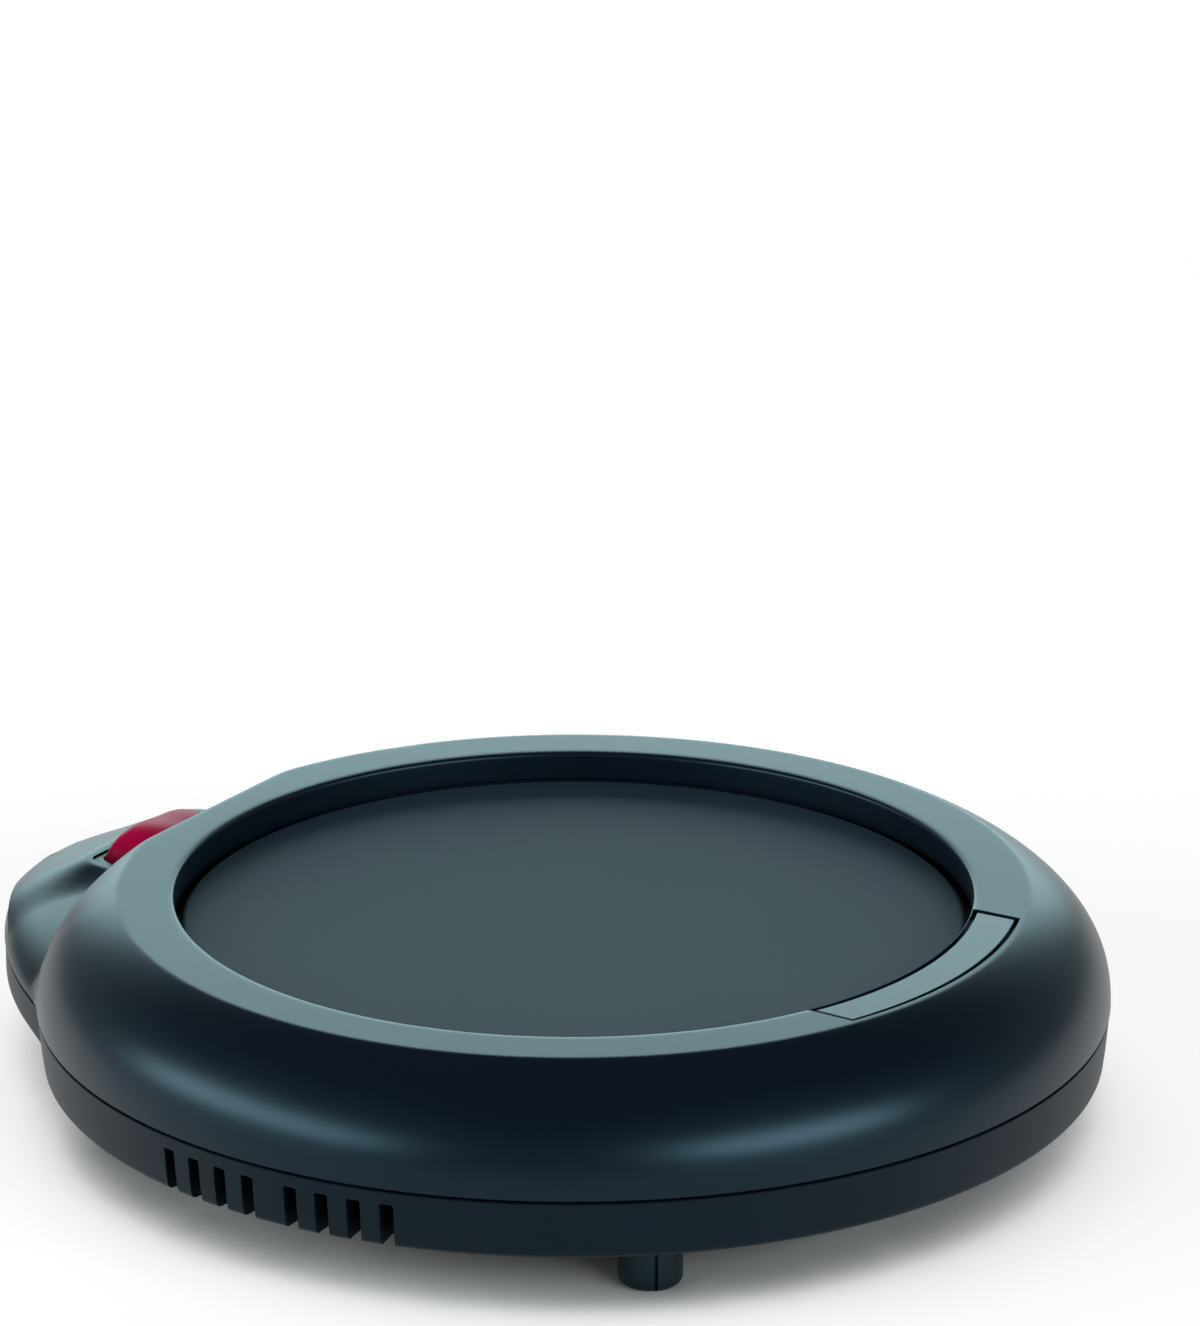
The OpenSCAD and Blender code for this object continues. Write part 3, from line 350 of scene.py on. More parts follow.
def ring_and_pod(phi, ring, plane_y, pod):
    """The outline of the ring, cut off behind its straight rear wall, and of the pod behind it.
    ring is a polyline from the axis outward, and pod the pod's slope in this plane."""
    ring = dense(ring)
    cut = plane_y / math.cos(phi) if abs(phi) < POD_HALF_ANGLE else 1e9
    if abs(phi) > POD_HALF_ANGLE or pod[-1, 0] <= ring[-1, 0] and cut > ring[-1, 0]:
        return ring, None
    top = pod[0, 1]
    pod = dense(np.vstack([[min(cut, pod[0, 0]) - POD_ROOF_IN, top], pod]))
    pod_z = np.interp(ring[:, 0], pod[:, 0], pod[:, 1])
    inside = (ring[:, 0] < cut) & (ring[:, 1] >= pod_z)
    last = int(np.argmin(inside)) if not inside.all() else len(ring)
    head = ring[:last].copy()
    past = np.clip(1 - (head[-1, 0] - head[:, 0]) / EDGE_W, 0, 1)
    head[:, 1] -= EDGE_DROP * past
    foot_r = min(cut, head[-1, 0] + 0.05)
    foot_z = float(np.interp(foot_r, pod[:, 0], pod[:, 1]))
    drop = np.array([[foot_r, head[-1, 1]], [foot_r, foot_z]])
    tail = pod[pod[:, 0] > foot_r]
    line = np.vstack([head, dense(drop) if head[-1, 1] - foot_z > 0.1 else drop, tail])
    return line, np.array([foot_r, foot_z])


def smooth_line(line, sigma, step=0.05):
    """A polyline with even steps, blurred along its length by sigma, its ends kept."""
    reach = int(4 * sigma / step)
    if reach < 1:
        return line
    kernel = np.exp(-0.5 * (np.arange(-reach, reach + 1) * step / sigma) ** 2)
    kernel /= kernel.sum()
    head = 2 * line[0] - line[reach:0:-1]
    tail = 2 * line[-1] - line[-2 : -reach - 2 : -1]
    padded = np.vstack([head, line, tail])
    return np.stack([np.convolve(padded[:, k], kernel, "valid") for k in range(2)], 1)


def resample(line, rows, pull=3.0):
    """rows points along a dense polyline, closer together where it bends."""
    d = np.diff(line, axis=0)
    step = np.linalg.norm(d, axis=1) + 1e-12
    heading = np.unwrap(np.arctan2(d[:, 1], d[:, 0]))
    bend = np.abs(np.r_[0, np.diff(heading)])
    spread = 12
    kernel = np.hanning(2 * spread + 1)
    kernel /= kernel.sum()
    weight = step + pull * np.convolve(np.minimum(bend, 1.0), kernel, "same")
    s = np.r_[0, np.cumsum(weight)]
    t = np.linspace(0, s[-1], rows)
    return np.stack([np.interp(t, s, line[:, k]) for k in range(2)], 1)


def housing_angles():
    """Plan directions of the sections: closer together across the pod."""
    fine, coarse = ((0.3, 1.0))
    pod = np.arange(-50, 50, fine)
    rest = np.arange(50, 310, coarse)
    return np.radians(np.r_[pod, rest])


def blur_columns(points, phis):
    """Softens the valley between the pod's side and the ring's side, across the sections."""
    columns = len(phis)
    out = points.copy()
    degrees = np.degrees(phis)
    step = np.radians(np.median(np.diff(degrees[:50]))) * RING_R
    reach = int(3 * VALLEY_BLUR / step)
    kernel = np.exp(-0.5 * (np.arange(-reach, reach + 1) * step / VALLEY_BLUR) ** 2)
    kernel /= kernel.sum()
    for c in range(columns):
        if abs(degrees[c]) > VALLEY_END:
            continue
        fade = np.clip((VALLEY_END - abs(degrees[c])) / VALLEY_FADE, 0, 1)
        index = (np.arange(c - reach, c + reach + 1)) % columns
        soft = np.tensordot(kernel, points[index], axes=(0, 0))
        out[c] = points[c] + fade * (soft - points[c])
    return out


def seat_height(x, y):
    """The raised seat round the switch: flat at the pod's top, with falling flanks."""
    half_x, back = RIM_X + SEAT_RIM, RIM_FAR_Y + SEAT_BACK
    dx = np.maximum(np.abs(x) - half_x + SEAT_CORNER, 0)
    dy = np.maximum(y - back + SEAT_CORNER, 0)
    outside = np.maximum(np.hypot(dx, dy) - SEAT_CORNER, 0)
    return POD_TOP_Z - SEAT_FALL * (np.hypot(outside, 1) - 1)


def soft_max(a, b, k):
    """The greater of two, with the change from one to the other rounded over k."""
    h = np.clip(0.5 + 0.5 * (a - b) / k, 0, 1)
    return b + (a - b) * h + k * h * (1 - h)


def label_outline(grow):
    """The label's plan: two arcs about the well's axis, with straight ends."""
    inner, outer = LABEL_IN - grow, LABEL_OUT + grow
    half_in = math.asin((LABEL_END_IN + grow) / inner)
    half_out = math.asin((LABEL_END_OUT + grow) / outer)
    near = [(inner * math.sin(a), -inner * math.cos(a)) for a in np.linspace(-half_in, half_in, 49)]
    far = [(outer * math.sin(a), -outer * math.cos(a)) for a in np.linspace(half_out, -half_out, 49)]
    return near + far


def rounded_box(half_x, low_y, high_y, radius, steps=6):
    """A plan rectangle with round corners."""
    corners = [(half_x, high_y), (-half_x, high_y), (-half_x, low_y), (half_x, low_y)]
    out = []
    for k, (x, y) in enumerate(corners):
        cx = x - math.copysign(radius, x)
        cy = y - radius if y == high_y else y + radius
        for a in np.linspace(k * 90, (k + 1) * 90, steps + 1):
            out.append((cx + radius * math.cos(math.radians(a)), cy + radius * math.sin(math.radians(a))))
    return out


def turned(degrees, radius):
    """Plan position at an angle from the pod's axis."""
    a = math.radians(degrees)
    return (radius * math.sin(a), radius * math.cos(a))


def along_y(x, z, y):
    """For a prism that is drawn in the X-Z plane and runs along Y."""
    return (x, y, z)


def gland_cutter(name):
    w = GLAND_HALF + GLAND_FIT
    plan = [(-w, GLAND_Z - w), (w, GLAND_Z - w), (w, GLAND_Z + w), (-w, GLAND_Z + w)]
    return prism(name, plan, *GLAND_CUT, along_y)


def tube_boss(name, at, r_out, r_in, low, high):
    """A screw boss: a blind tube that opens downwards."""
    roof = high - BOSS_ROOF
    profile = [(0, roof), (r_in, roof), (r_in, low), (r_out, low), (r_out, high), (0, high)]
    return revolve(name, profile, 48, at)


def upper_skin(near, rows):
    """The upper housing's outer skin in one plan direction, softened, with its points closer where it
    bends."""
    lip = [[WELL_R, PLATE_Z], [WELL_R, RING_H - EDGE_DROP], [WELL_R + LIP_R + EDGE_W, RING_H],
           [LAND_R, RING_H]]
    lip = rounded(lip, [0, LIP_R, EDGE_W, 0], 8)
    skin = np.vstack([lip, shoulder(RING_R, LAND_R, RING_H)])
    line, foot = ring_and_pod(near, skin, REAR_Y, pod_slope(near, 0, POD_TOP_Z))
    line = dense(line)
    crisp = smooth_line(line, EDGE_BLUR)
    if foot is not None:
        soft = smooth_line(line, FOOT_BLUR)
        away = np.linalg.norm(line - foot, axis=1)
        crisp = crisp + np.clip(FOOT_NEAR - away, 0, 1)[:, None] * (soft - crisp)
    crisp[0], crisp[-1] = line[0], line[-1]
    outer = resample(crisp, rows)
    outer[-1, 1] = JOINT_Z + SKIN_EDGE
    return outer


def raise_seat(outer):
    """Lifts the pod's roof to the flat seat round the switch."""
    seat = seat_height(outer[..., 0], outer[..., 1])
    lifted = np.minimum(soft_max(outer[..., 2], seat, SEAT_BLEND), POD_TOP_Z)
    raised = (outer[..., 1] > REAR_Y + 0.3) & (outer[..., 2] > JOINT_Z + 1) & (seat > JOINT_Z)
    outer[..., 2] = np.where(raised, np.maximum(outer[..., 2], lifted), outer[..., 2])


def upper_bosses():
    """The screw bosses under the roof: on the ring, in the pod, and for the plate's retainer."""
    spots = [(turned(a, RING_SCREW_R), BOSS_R, JOINT_Z, RING_BOSS_TOP) for a in RING_SCREWS]
    spots += [((side * POD_SCREW_X, ROCKER_Y), BOSS_R, JOINT_Z, POD_BOSS_TOP) for side in (-1, 1)]
    spots += [(turned(a, RETAINER_AT_R), RETAINER_BOSS_R, RETAINER_LOW, RETAINER_TOP)
              for a in RETAINER_BOSSES]
    return [tube_boss("boss", at, radius, BOSS_BORE_R, low, high) for at, radius, low, high in spots]


def upper_housing():
    phis = housing_angles()
    outer_rows, inner_rows = 112, 20
    inside = np.vstack(
        [[[WELL_R + WALL, RING_H - WALL]], shoulder(RING_R - WALL, LAND_R - 0.6 * WALL, RING_H - WALL)]
    )
    well = [[WELL_R + SEAT_STEP, SEAT_Z], [WELL_R + SEAT_STEP, PLATE_Z - 0.3]]
    points = np.zeros((len(phis), outer_rows + inner_rows + 4, 3))
    for c, phi in enumerate(phis):
        near = ((phi + math.pi) % (2 * math.pi)) - math.pi
        outer = upper_skin(near, outer_rows)
        hollow, _ = ring_and_pod(near, inside, REAR_Y - WALL, pod_slope(near, WALL, POD_TOP_Z - WALL))
        inner = resample(dense(hollow, 0.2), inner_rows)[::-1]
        rim = [[outer[-1, 0] - JOINT_EDGE, JOINT_Z]]
        section = np.vstack([well, outer, rim, inner, [[WELL_R + WALL, SEAT_Z]]])
        points[c, :, 0] = section[:, 0] * math.sin(phi)
        points[c, :, 1] = section[:, 0] * math.cos(phi)
        points[c, :, 2] = section[:, 1]
    points = blur_columns(points, phis)
    raise_seat(points[:, 2 : outer_rows + 2])
    faces = grid_faces(len(phis), points.shape[1], wrap_rows=True)
    obj = fix_normals(new_object("shell_upper", points.reshape(-1, 3), faces))
    hole = rounded_box(RIM_X + RIM_FIT, REAR_Y + 0.1, RIM_FAR_Y + RIM_FIT, RIM_CORNER)
    opening = prism("opening", hole, JOINT_Z + 2, RING_H)
    recess = prism("recess", label_outline(LABEL_GAP), LABEL_LOW, RING_H + 1)
    cut_with(obj, joined("cutters", [opening, recess, gland_cutter("gland_seat")]))
    return fix_normals(joined("shell_upper", [obj] + upper_bosses()))


def lower_section(phi):
    """The lower housing's closed section in one plan direction, from the axis out and back."""
    near = ((phi + math.pi) % (2 * math.pi)) - math.pi
    pod = pod_radius(near, 0.1) if abs(near) < POD_HALF_ANGLE else 0
    slope = (BASE_TOP_R - BASE_R) / (LOWER_TOP_Z - BASE_Z)

    def side(z):
        return BASE_R + slope * (z - BASE_Z)

    corner = [(BASE_R - BASE_EDGE_R * (1 - math.sin(a)), BASE_Z + BASE_EDGE_R * (1 - math.cos(a)))
              for a in np.linspace(0, math.pi / 2, 7)]
    reach = max(pod, side(POD_BASE_Z))
    wide = np.clip((reach - side(POD_BASE_Z)) / 2, 0, 1)
    in_pod = reach > side(POD_BASE_Z) + 6
    edge = POD_EDGE_R * wide
    under = [(side(POD_BASE_Z - 0.3), POD_BASE_Z - 0.3)]
    under += [(side(POD_BASE_Z) + t * (reach - edge - side(POD_BASE_Z)), POD_BASE_Z)
              for t in np.linspace(0.02, 1, 8)]
    under += [(reach - edge * (1 - math.sin(a)), POD_BASE_Z + POD_EDGE_R * (1 - math.cos(a)))
              for a in np.linspace(0.26, math.pi / 2, 6)]
    if wide == 0:
        heights = np.linspace(POD_BASE_Z - 0.3, POD_BASE_Z + POD_EDGE_R, len(under))
        under = [(side(z), z) for z in heights]
    heights = np.linspace(POD_BASE_Z + POD_EDGE_R + 0.3, LOWER_TOP_Z - JOINT_EDGE, 5)
    walls = [(max(pod, side(z)), z) for z in heights]
    rim = [(walls[-1][0] - JOINT_EDGE, LOWER_TOP_Z)]
    if in_pod:
        tongue_out = pod_radius(near, WALL + POD_TONGUE_IN)
        tongue_in = pod_radius(near, WALL + POD_TONGUE_IN + TONGUE_W)
        low = POD_BASE_Z + POD_FLOOR
    else:
        tongue_out = RING_R - WALL - TONGUE_GAP
        tongue_in = tongue_out - TONGUE_W
        low = BASE_Z + WALL
    tongue = [(tongue_out, LOWER_TOP_Z), (tongue_out, LOWER_TOP_Z + TONGUE_H),
              (tongue_in, LOWER_TOP_Z + TONGUE_H), (tongue_in, low)]
    floor_r = RING_R - WALL - PAN_IN
    inside = [(floor_r, low), (floor_r, BASE_Z + WALL - 0.001)]
    return [(0, BASE_Z)] + corner + under + walls + rim + tongue + inside + [(0, BASE_Z + WALL)]


def vent_slots():
    """Cutters for the slots: a group on each side, in two halves about its middle."""
    slot = rounded_box(VENT_W / 2, BASE_Z - 2, VENT_TOP_Z, VENT_CORNER)
    cutters = []
    for middle in VENT_SIDES:
        for half in (-1, 1):
            for k in range(VENT_SLOTS):
                angle = math.radians(middle + half * (VENT_FIRST + VENT_STEP * k))

                def place(x, z, y, a=angle):
                    return (x * math.cos(a) + y * math.sin(a), -x * math.sin(a) + y * math.cos(a), z)

                cutters.append(prism("slot", slot, RING_R - VENT_REACH, RING_R + 2, place))
    return cutters


def lower_housing():
    phis = housing_angles()
    sections = np.array([lower_section(phi) for phi in phis])
    inner = sections[:, 1:-1]
    points = np.zeros(inner.shape[:2] + (3,))
    points[..., 0] = inner[..., 0] * np.sin(phis)[:, None]
    points[..., 1] = inner[..., 0] * np.cos(phis)[:, None]
    points[..., 2] = inner[..., 1]
    columns, rows = points.shape[:2]
    verts = np.vstack([points.reshape(-1, 3), [[0, 0, BASE_Z], [0, 0, BASE_Z + WALL]]])
    faces = grid_faces(columns, rows)
    first, last = columns * rows, columns * rows + 1
    for c in range(columns):
        d = (c + 1) % columns
        faces.append((first, d * rows, c * rows))
        faces.append((last, c * rows + rows - 1, d * rows + rows - 1))
    obj = fix_normals(new_object("shell_lower", verts, faces))
    places = [(turned(a, RING_SCREW_R), BASE_Z) for a in RING_SCREWS]
    places += [((side * POD_SCREW_X, ROCKER_Y), POD_BASE_Z) for side in (-1, 1)]
    sleeves = [prism("sleeve", circle(SLEEVE_R, 40, at), z + 0.7, JOINT_Z) for at, z in places]
    combine(obj, joined("sleeves", sleeves), "UNION")
    cutters = []
    for at, z in places:
        bore = [(0, z - 1), (HEAD_BORE_R, z - 1), (HEAD_BORE_R, HEAD_TOP), (SCREW_BORE_R, HEAD_TOP),
                (SCREW_BORE_R, 16), (0, 16)]
        cutters.append(revolve("bore", bore, 48, at))
    cutters += vent_slots()
    for angle in FEET:
        hole = circle(FOOT_HOLE_R, 32, turned(angle, FOOT_AT_R))
        cutters.append(prism("foot_hole", hole, 5, 9.6))
    cut_with(obj, joined("cutters", cutters))
    cut_with(obj, gland_cutter("gland_seat"))
    return fix_normals(obj)


# ---------- Smaller pieces ----------

def bevelled(obj, width, segments=3, angle=40):
    """Rounds the edges that are sharper than an angle."""
    mod = obj.modifiers.new("bevel", "BEVEL")
    mod.width, mod.segments = width * MM, segments
    mod.limit_method, mod.angle_limit = "ANGLE", math.radians(angle)
    return baked(obj, mod)


def flat_tops(obj, least_area=4):
    """Shades the large flat faces as flat, so that their soft edges don't pull at the shading."""
    for face in obj.data.polygons:
        if face.area > least_area * MM**2:
            face.use_smooth = False
    return obj


def dressed(node, name, width, segments=2):
    """A piece with a CAD node's own shape and the soft edges of the real moulding."""
    bm = bmesh.new()
    bm.from_mesh(NODES[node].data)
    bmesh.ops.remove_doubles(bm, verts=bm.verts, dist=1e-6)
    bmesh.ops.dissolve_limit(bm, angle_limit=math.radians(1), verts=bm.verts, edges=bm.edges)
    mesh = bpy.data.meshes.new(name)
    bm.to_mesh(mesh)
    bm.free()
    mesh.polygons.foreach_set("use_smooth", [True] * len(mesh.polygons))
    obj = bpy.data.objects.new(name, mesh)
    bpy.context.scene.collection.objects.link(obj)
    return fix_normals(bevelled(obj, width, segments))


def label():
    obj = prism("label_inlay", label_outline(-LABEL_TRIM), LABEL_LOW, LABEL_LOW + LABEL_T)
    fix_normals(bevelled(obj, 0.12, 3))
    return flat_tops(obj)


def heating_plate():
    """The coated disc with its stepped-down rim, and the four studs welded under it."""
    edge = rounded([[0, PLATE_Z], [PLATE_R, PLATE_Z], [PLATE_R, FLANGE_Z]], [0, PLATE_EDGE, 0], 8)
    under = [[FLANGE_R, FLANGE_Z], [FLANGE_R, FLANGE_LOW], [FLANGE_IN, FLANGE_LOW],
             [FLANGE_IN, PLATE_Z - PLATE_T], [0, PLATE_Z - PLATE_T]]
    top = [[r, PLATE_Z] for r in np.linspace(0, PLATE_FLAT_R, 24)[:-1]]
    disc = revolve("disc", top + [list(p) for p in edge[1:]] + under, 240)
    weld_z = PLATE_Z - PLATE_T + 0.05
    stud = [(0, STUD_LOW), (STUD_R - STUD_CHAMFER, STUD_LOW), (STUD_R, STUD_LOW + STUD_CHAMFER),
            (STUD_R, weld_z), (0, weld_z)]
    studs = [revolve("stud", stud, 32, turned(a, STUD_AT_R)) for a in STUD_ANGLES]
    return fix_normals(joined("warming_plate", [disc] + studs))


def cap_profile(drop, end, skirt):
    """The cap's outline seen along its pivot axis: a long dome with a shallow valley in the middle,
    lowered by drop and drawn in at its ends by end. The lobe at +X ends rounder."""
    half_l, top = CAP_HALF_L - end, CAP_TOP - drop
    low = math.asin(-skirt / half_l)
    sides = []
    for power in (CAP_ROUND_FAR, CAP_ROUND_NEAR):
        half = [(half_l * math.cos(a), half_l * math.sin(a)) for a in np.linspace(low, 0, 8)[:-1]]
        for a in np.linspace(math.pi / 2, 0, 40):
            x = half_l * math.sin(a)
            dip = CAP_VALLEY * (1 + math.cos(math.pi * min(x / CAP_VALLEY_X, 1))) / 2
            half.append((x, top * math.sqrt(max(0, 1 - math.sin(a) ** power)) - dip))
        sides.append(half)
    far, near = sides
    return far + [(-x, z) for x, z in near[-2::-1]]


def cap_block():
    """The cap's outer form: its outline drawn in towards both sides, so that it's crowned."""
    half = CAP_W / 2
    sections = []
    for t in np.linspace(-1, 1, 41):
        y = half * math.sin(t * math.pi / 2)
        past = min(max(0.0, (abs(y) - half + CAP_EDGE) / CAP_EDGE), 1.0)
        drop = CAP_CROWN * (y / half) ** 2 + CAP_EDGE * (1 - math.sqrt(1 - past**2))
        outline = cap_profile(drop, CAP_END * drop, CAP_SKIRT)
        sections.append([on_cap(x, z, ROCKER_NEAR_Y + half + y) for x, z in outline])
    columns, rows = len(sections), len(sections[0])
    faces = grid_faces(columns, rows, wrap_columns=False, wrap_rows=True)
    faces += [tuple(range(rows)), tuple(range(columns * rows - 1, (columns - 1) * rows - 1, -1))]
    return fix_normals(new_object("rocker_cap", np.array(sections).reshape(-1, 3), faces), 50)


def from_pivot(x, z, y, tilt):
    """From a frame tilted about the pivot to the part's. y is already the part's own."""
    c, s = math.cos(tilt), math.sin(tilt)
    return (x * c - z * s, y, PIVOT_Z + x * s + z * c)


def on_cap(x, z, y):
    return from_pivot(x, z, y, CAP_TILT)


def on_stem(x, y, z):
    return from_pivot(x, z, ROCKER_Y + y, ROCKER_TILT)


def rocker():
    """The red cap: hollow below, with the plunger's stem and two pivot pins."""
    near, far = ROCKER_NEAR_Y, ROCKER_NEAR_Y + CAP_W
    block = cap_block()
    hollow = cap_profile(CAP_EDGE + CAP_CROWN, CAP_WALL + CAP_END * CAP_EDGE, CAP_SKIRT + 1)
    cut_with(block, prism("hollow", hollow, near + CAP_WALL, far - CAP_WALL, on_cap))
    stem = prism("stem", circle(STEM_R, 40), STEM_LOW, CAP_TOP - 0.9, on_stem)
    cut_with(stem, prism("bore", circle(STEM_BORE_R, 32), STEM_LOW - 1.1, STEM_BORE_TOP, on_stem))
    pins = [
        prism("pin", circle(PIN_R, 24), near - PIN_REACH, near + 0.2, on_cap),
        prism("pin", circle(PIN_R, 24), far - 0.2, far + PIN_REACH, on_cap),
    ]
    return fix_normals(joined("rocker_cap", [block, stem] + pins))


def switch_frame():
    """The switch's body, with a closed rim above it that fits the slimmer rocker."""
    body = dressed("switch_body", "switch_frame", 0.25, 3)
    over = rounded_box(BODY_X + 1, RIM_NEAR_Y - 1, ROCKER_Y + BODY_Y + 1, 0.5)
    cut_with(body, prism("over", over, RAIL_LOW + 0.2, RAIL_HIGH + 1))
    rim = prism("rim", rounded_box(RIM_X, RIM_NEAR_Y, RIM_FAR_Y, RIM_CORNER), RAIL_LOW, RAIL_HIGH)
    inside = rounded_box(RIM_X - RAIL_W, ROCKER_NEAR_Y - RAIL_GAP, RIM_FAR_Y - RAIL_W, RIM_CORNER)
    cut_with(rim, prism("inside", inside, RAIL_LOW - 1, RAIL_HIGH + 1))
    bevelled(rim, 0.12, 3, 60)
    pin_hole = prism("bore", circle(PIN_R + 0.1, 32), RIM_NEAR_Y + 0.2, RIM_FAR_Y - 0.2, on_cap)
    cut_with(rim, pin_hole)
    return fix_normals(combine(body, rim, "UNION"))


def outlet_bush():
    """The cord's bush between the two housings: square, with a bore, and flush with the pod's skin."""
    w, tip = GLAND_HALF, pod_radius(0, 0)
    top, bottom = GLAND_Z + w, GLAND_Z - w
    slope = pod_slope(0, 0, POD_TOP_Z) - np.array([BUSH_SINK, 0])
    top_y = float(np.interp(top, slope[::-1, 1], slope[::-1, 0]))
    side = [(GLAND_IN_Y, top), (top_y, top)]
    side += [(y, z) for y, z in slope if z < top]
    side += [(tip - BUSH_SINK, bottom), (GLAND_IN_Y, bottom)]
    bush = prism("outlet_bush", side, -w, w, lambda y, z, x: (x, y, z))
    bevelled(bush, 0.2, 3, 50)
    bore = [(x, GLAND_Z + z) for x, z in circle(CORD_BORE_R, 40)]
    return fix_normals(cut_with(bush, prism("bore", bore, GLAND_IN_Y - 2, tip + 2, along_y)))


def cross_outline(width, length):
    """The plan of a screw's cross recess."""
    w, l = width / 2, length / 2
    return [(w, w), (l, w), (l, -w), (w, -w), (w, -l), (-w, -l), (-w, -w), (-l, -w), (-l, w), (-w, w),
            (-w, l), (w, l)]


def housing_screws():
    """Pan-head screws in their counterbores, each with its cross recess turned another way."""
    screws = []
    places = [(turned(a, RING_SCREW_R), RING_BOSS_TOP - 1.5) for a in RING_SCREWS]
    places += [((side * POD_SCREW_X, ROCKER_Y), POD_BOSS_TOP - 1.5) for side in (-1, 1)]
    for k, (at, tip) in enumerate(places):
        head = [(0, 10.8), (1.9, 10.8), (2.35, 10.95), (2.65, 11.3), (2.7, 11.6), (2.7, 12.35)]
        shank = [(2.65, HEAD_TOP), (1.25, HEAD_TOP), (1.25, tip - 0.6), (0.7, tip), (0, tip)]
        screw = revolve("screw", head + shank, 48, at)
        turn = 0.7 + 1.9 * k
        cross = [(at[0] + x * math.cos(turn) - y * math.sin(turn),
                  at[1] + x * math.sin(turn) + y * math.cos(turn)) for x, y in cross_outline(0.75, 3.1)]
        cut_with(screw, prism("cross", cross, 10, 11.8))
        screws.append(screw)
    return fix_normals(joined("screws_below", screws))


def rubber_feet():
    """Round feet with a soft lower edge and a barb through the base."""
    feet = []
    top = BASE_Z - 0.02
    neck = FOOT_HOLE_R - 0.05
    edge = [(FOOT_R - FOOT_EDGE * (1 - math.sin(a)), FOOT_EDGE * (1 - math.cos(a)))
            for a in np.linspace(0, math.pi / 2, 8)]
    barb = [(neck, top), (neck, 9.2), (3.0, 9.2), (1.6, FOOT_TOP), (0, FOOT_TOP)]
    for degrees in FEET:
        at = turned(degrees, FOOT_AT_R)
        foot = revolve("foot", [(0, 0)] + edge + [(FOOT_R, top)] + barb, 64, at)
        a = math.radians(degrees)
        corners = [(SLIT_HALF, SLIT_FROM), (SLIT_HALF, SLIT_TO),
                   (-SLIT_HALF, SLIT_TO), (-SLIT_HALF, SLIT_FROM)]
        slit = [(at[0] + x * math.cos(a) + y * math.sin(a), at[1] - x * math.sin(a) + y * math.cos(a))
                for x, y in corners]
        cut_with(foot, prism("slit", slit, -1, BASE_Z - 0.6))
        feet.append(foot)
    return fix_normals(joined("feet", feet))


# ---------- Materials ----------

def material(name, color, rough, grain, bump=0.1, tone=0.1, spread=0.04, stretch=(1, 1, 1), broad=40,
             cells=False, **sockets):
    """A procedural finish: a broad unevenness of tone, a fine grain in the roughness and the bump.
    grain is the grain's size in millimetres."""
    mat = bpy.data.materials.new(name)
    mat.use_nodes = True
    nodes, links = mat.node_tree.nodes, mat.node_tree.links
    shader = nodes["Principled BSDF"]
    coords = nodes.new("ShaderNodeTexCoord")
    mapping = nodes.new("ShaderNodeMapping")
    mapping.inputs["Scale"].default_value = stretch
    links.new(coords.outputs["Object"], mapping.inputs["Vector"])
    cloud = nodes.new("ShaderNodeTexNoise")
    cloud.inputs["Scale"].default_value = 1 / (broad * MM)
    cloud.inputs["Detail"].default_value = 4
    links.new(mapping.outputs["Vector"], cloud.inputs["Vector"])
    if cells:
        fine = nodes.new("ShaderNodeTexVoronoi")
        fine_out = fine.outputs["Distance"]
    else:
        fine = nodes.new("ShaderNodeTexNoise")
        fine.inputs["Detail"].default_value = 3
        fine_out = fine.outputs["Fac"]
    fine.inputs["Scale"].default_value = 1 / (grain * MM)
    links.new(mapping.outputs["Vector"], fine.inputs["Vector"])
    mix = nodes.new("ShaderNodeMix")
    mix.data_type = "RGBA"
    mix.inputs["A"].default_value = (*[c * (1 - tone) for c in color], 1)
    mix.inputs["B"].default_value = (*[c * (1 + tone) for c in color], 1)
    both = nodes.new("ShaderNodeMath")
    both.operation = "MULTIPLY_ADD"
    links.new(fine_out, both.inputs[0])
    both.inputs[1].default_value = 0.5
    half = nodes.new("ShaderNodeMath")
    half.operation = "MULTIPLY"
    half.inputs[1].default_value = 0.5
    links.new(cloud.outputs["Fac"], half.inputs[0])
    links.new(half.outputs[0], both.inputs[2])
    links.new(both.outputs[0], mix.inputs["Factor"])
    links.new(mix.outputs["Result"], shader.inputs["Base Color"])
    span = nodes.new("ShaderNodeMapRange")
    span.inputs["To Min"].default_value = rough - spread
    span.inputs["To Max"].default_value = rough + spread
    links.new(both.outputs[0], span.inputs["Value"])
    links.new(span.outputs["Result"], shader.inputs["Roughness"])
    if bump:
        relief = nodes.new("ShaderNodeBump")
        relief.inputs["Strength"].default_value = bump
        relief.inputs["Distance"].default_value = 0.1 * grain * MM
        links.new(fine_out, relief.inputs["Height"])
        links.new(relief.outputs["Normal"], shader.inputs["Normal"])
    for socket, value in sockets.items():
        shader.inputs[socket.replace("_", " ")].default_value = value
    return mat


RED_SHADE_FULL_Z, RED_SHADE_END_Z = 0.0212, 0.0243        # metres above the table: where the painted shade on the rocker's lower part is full, and where it ends
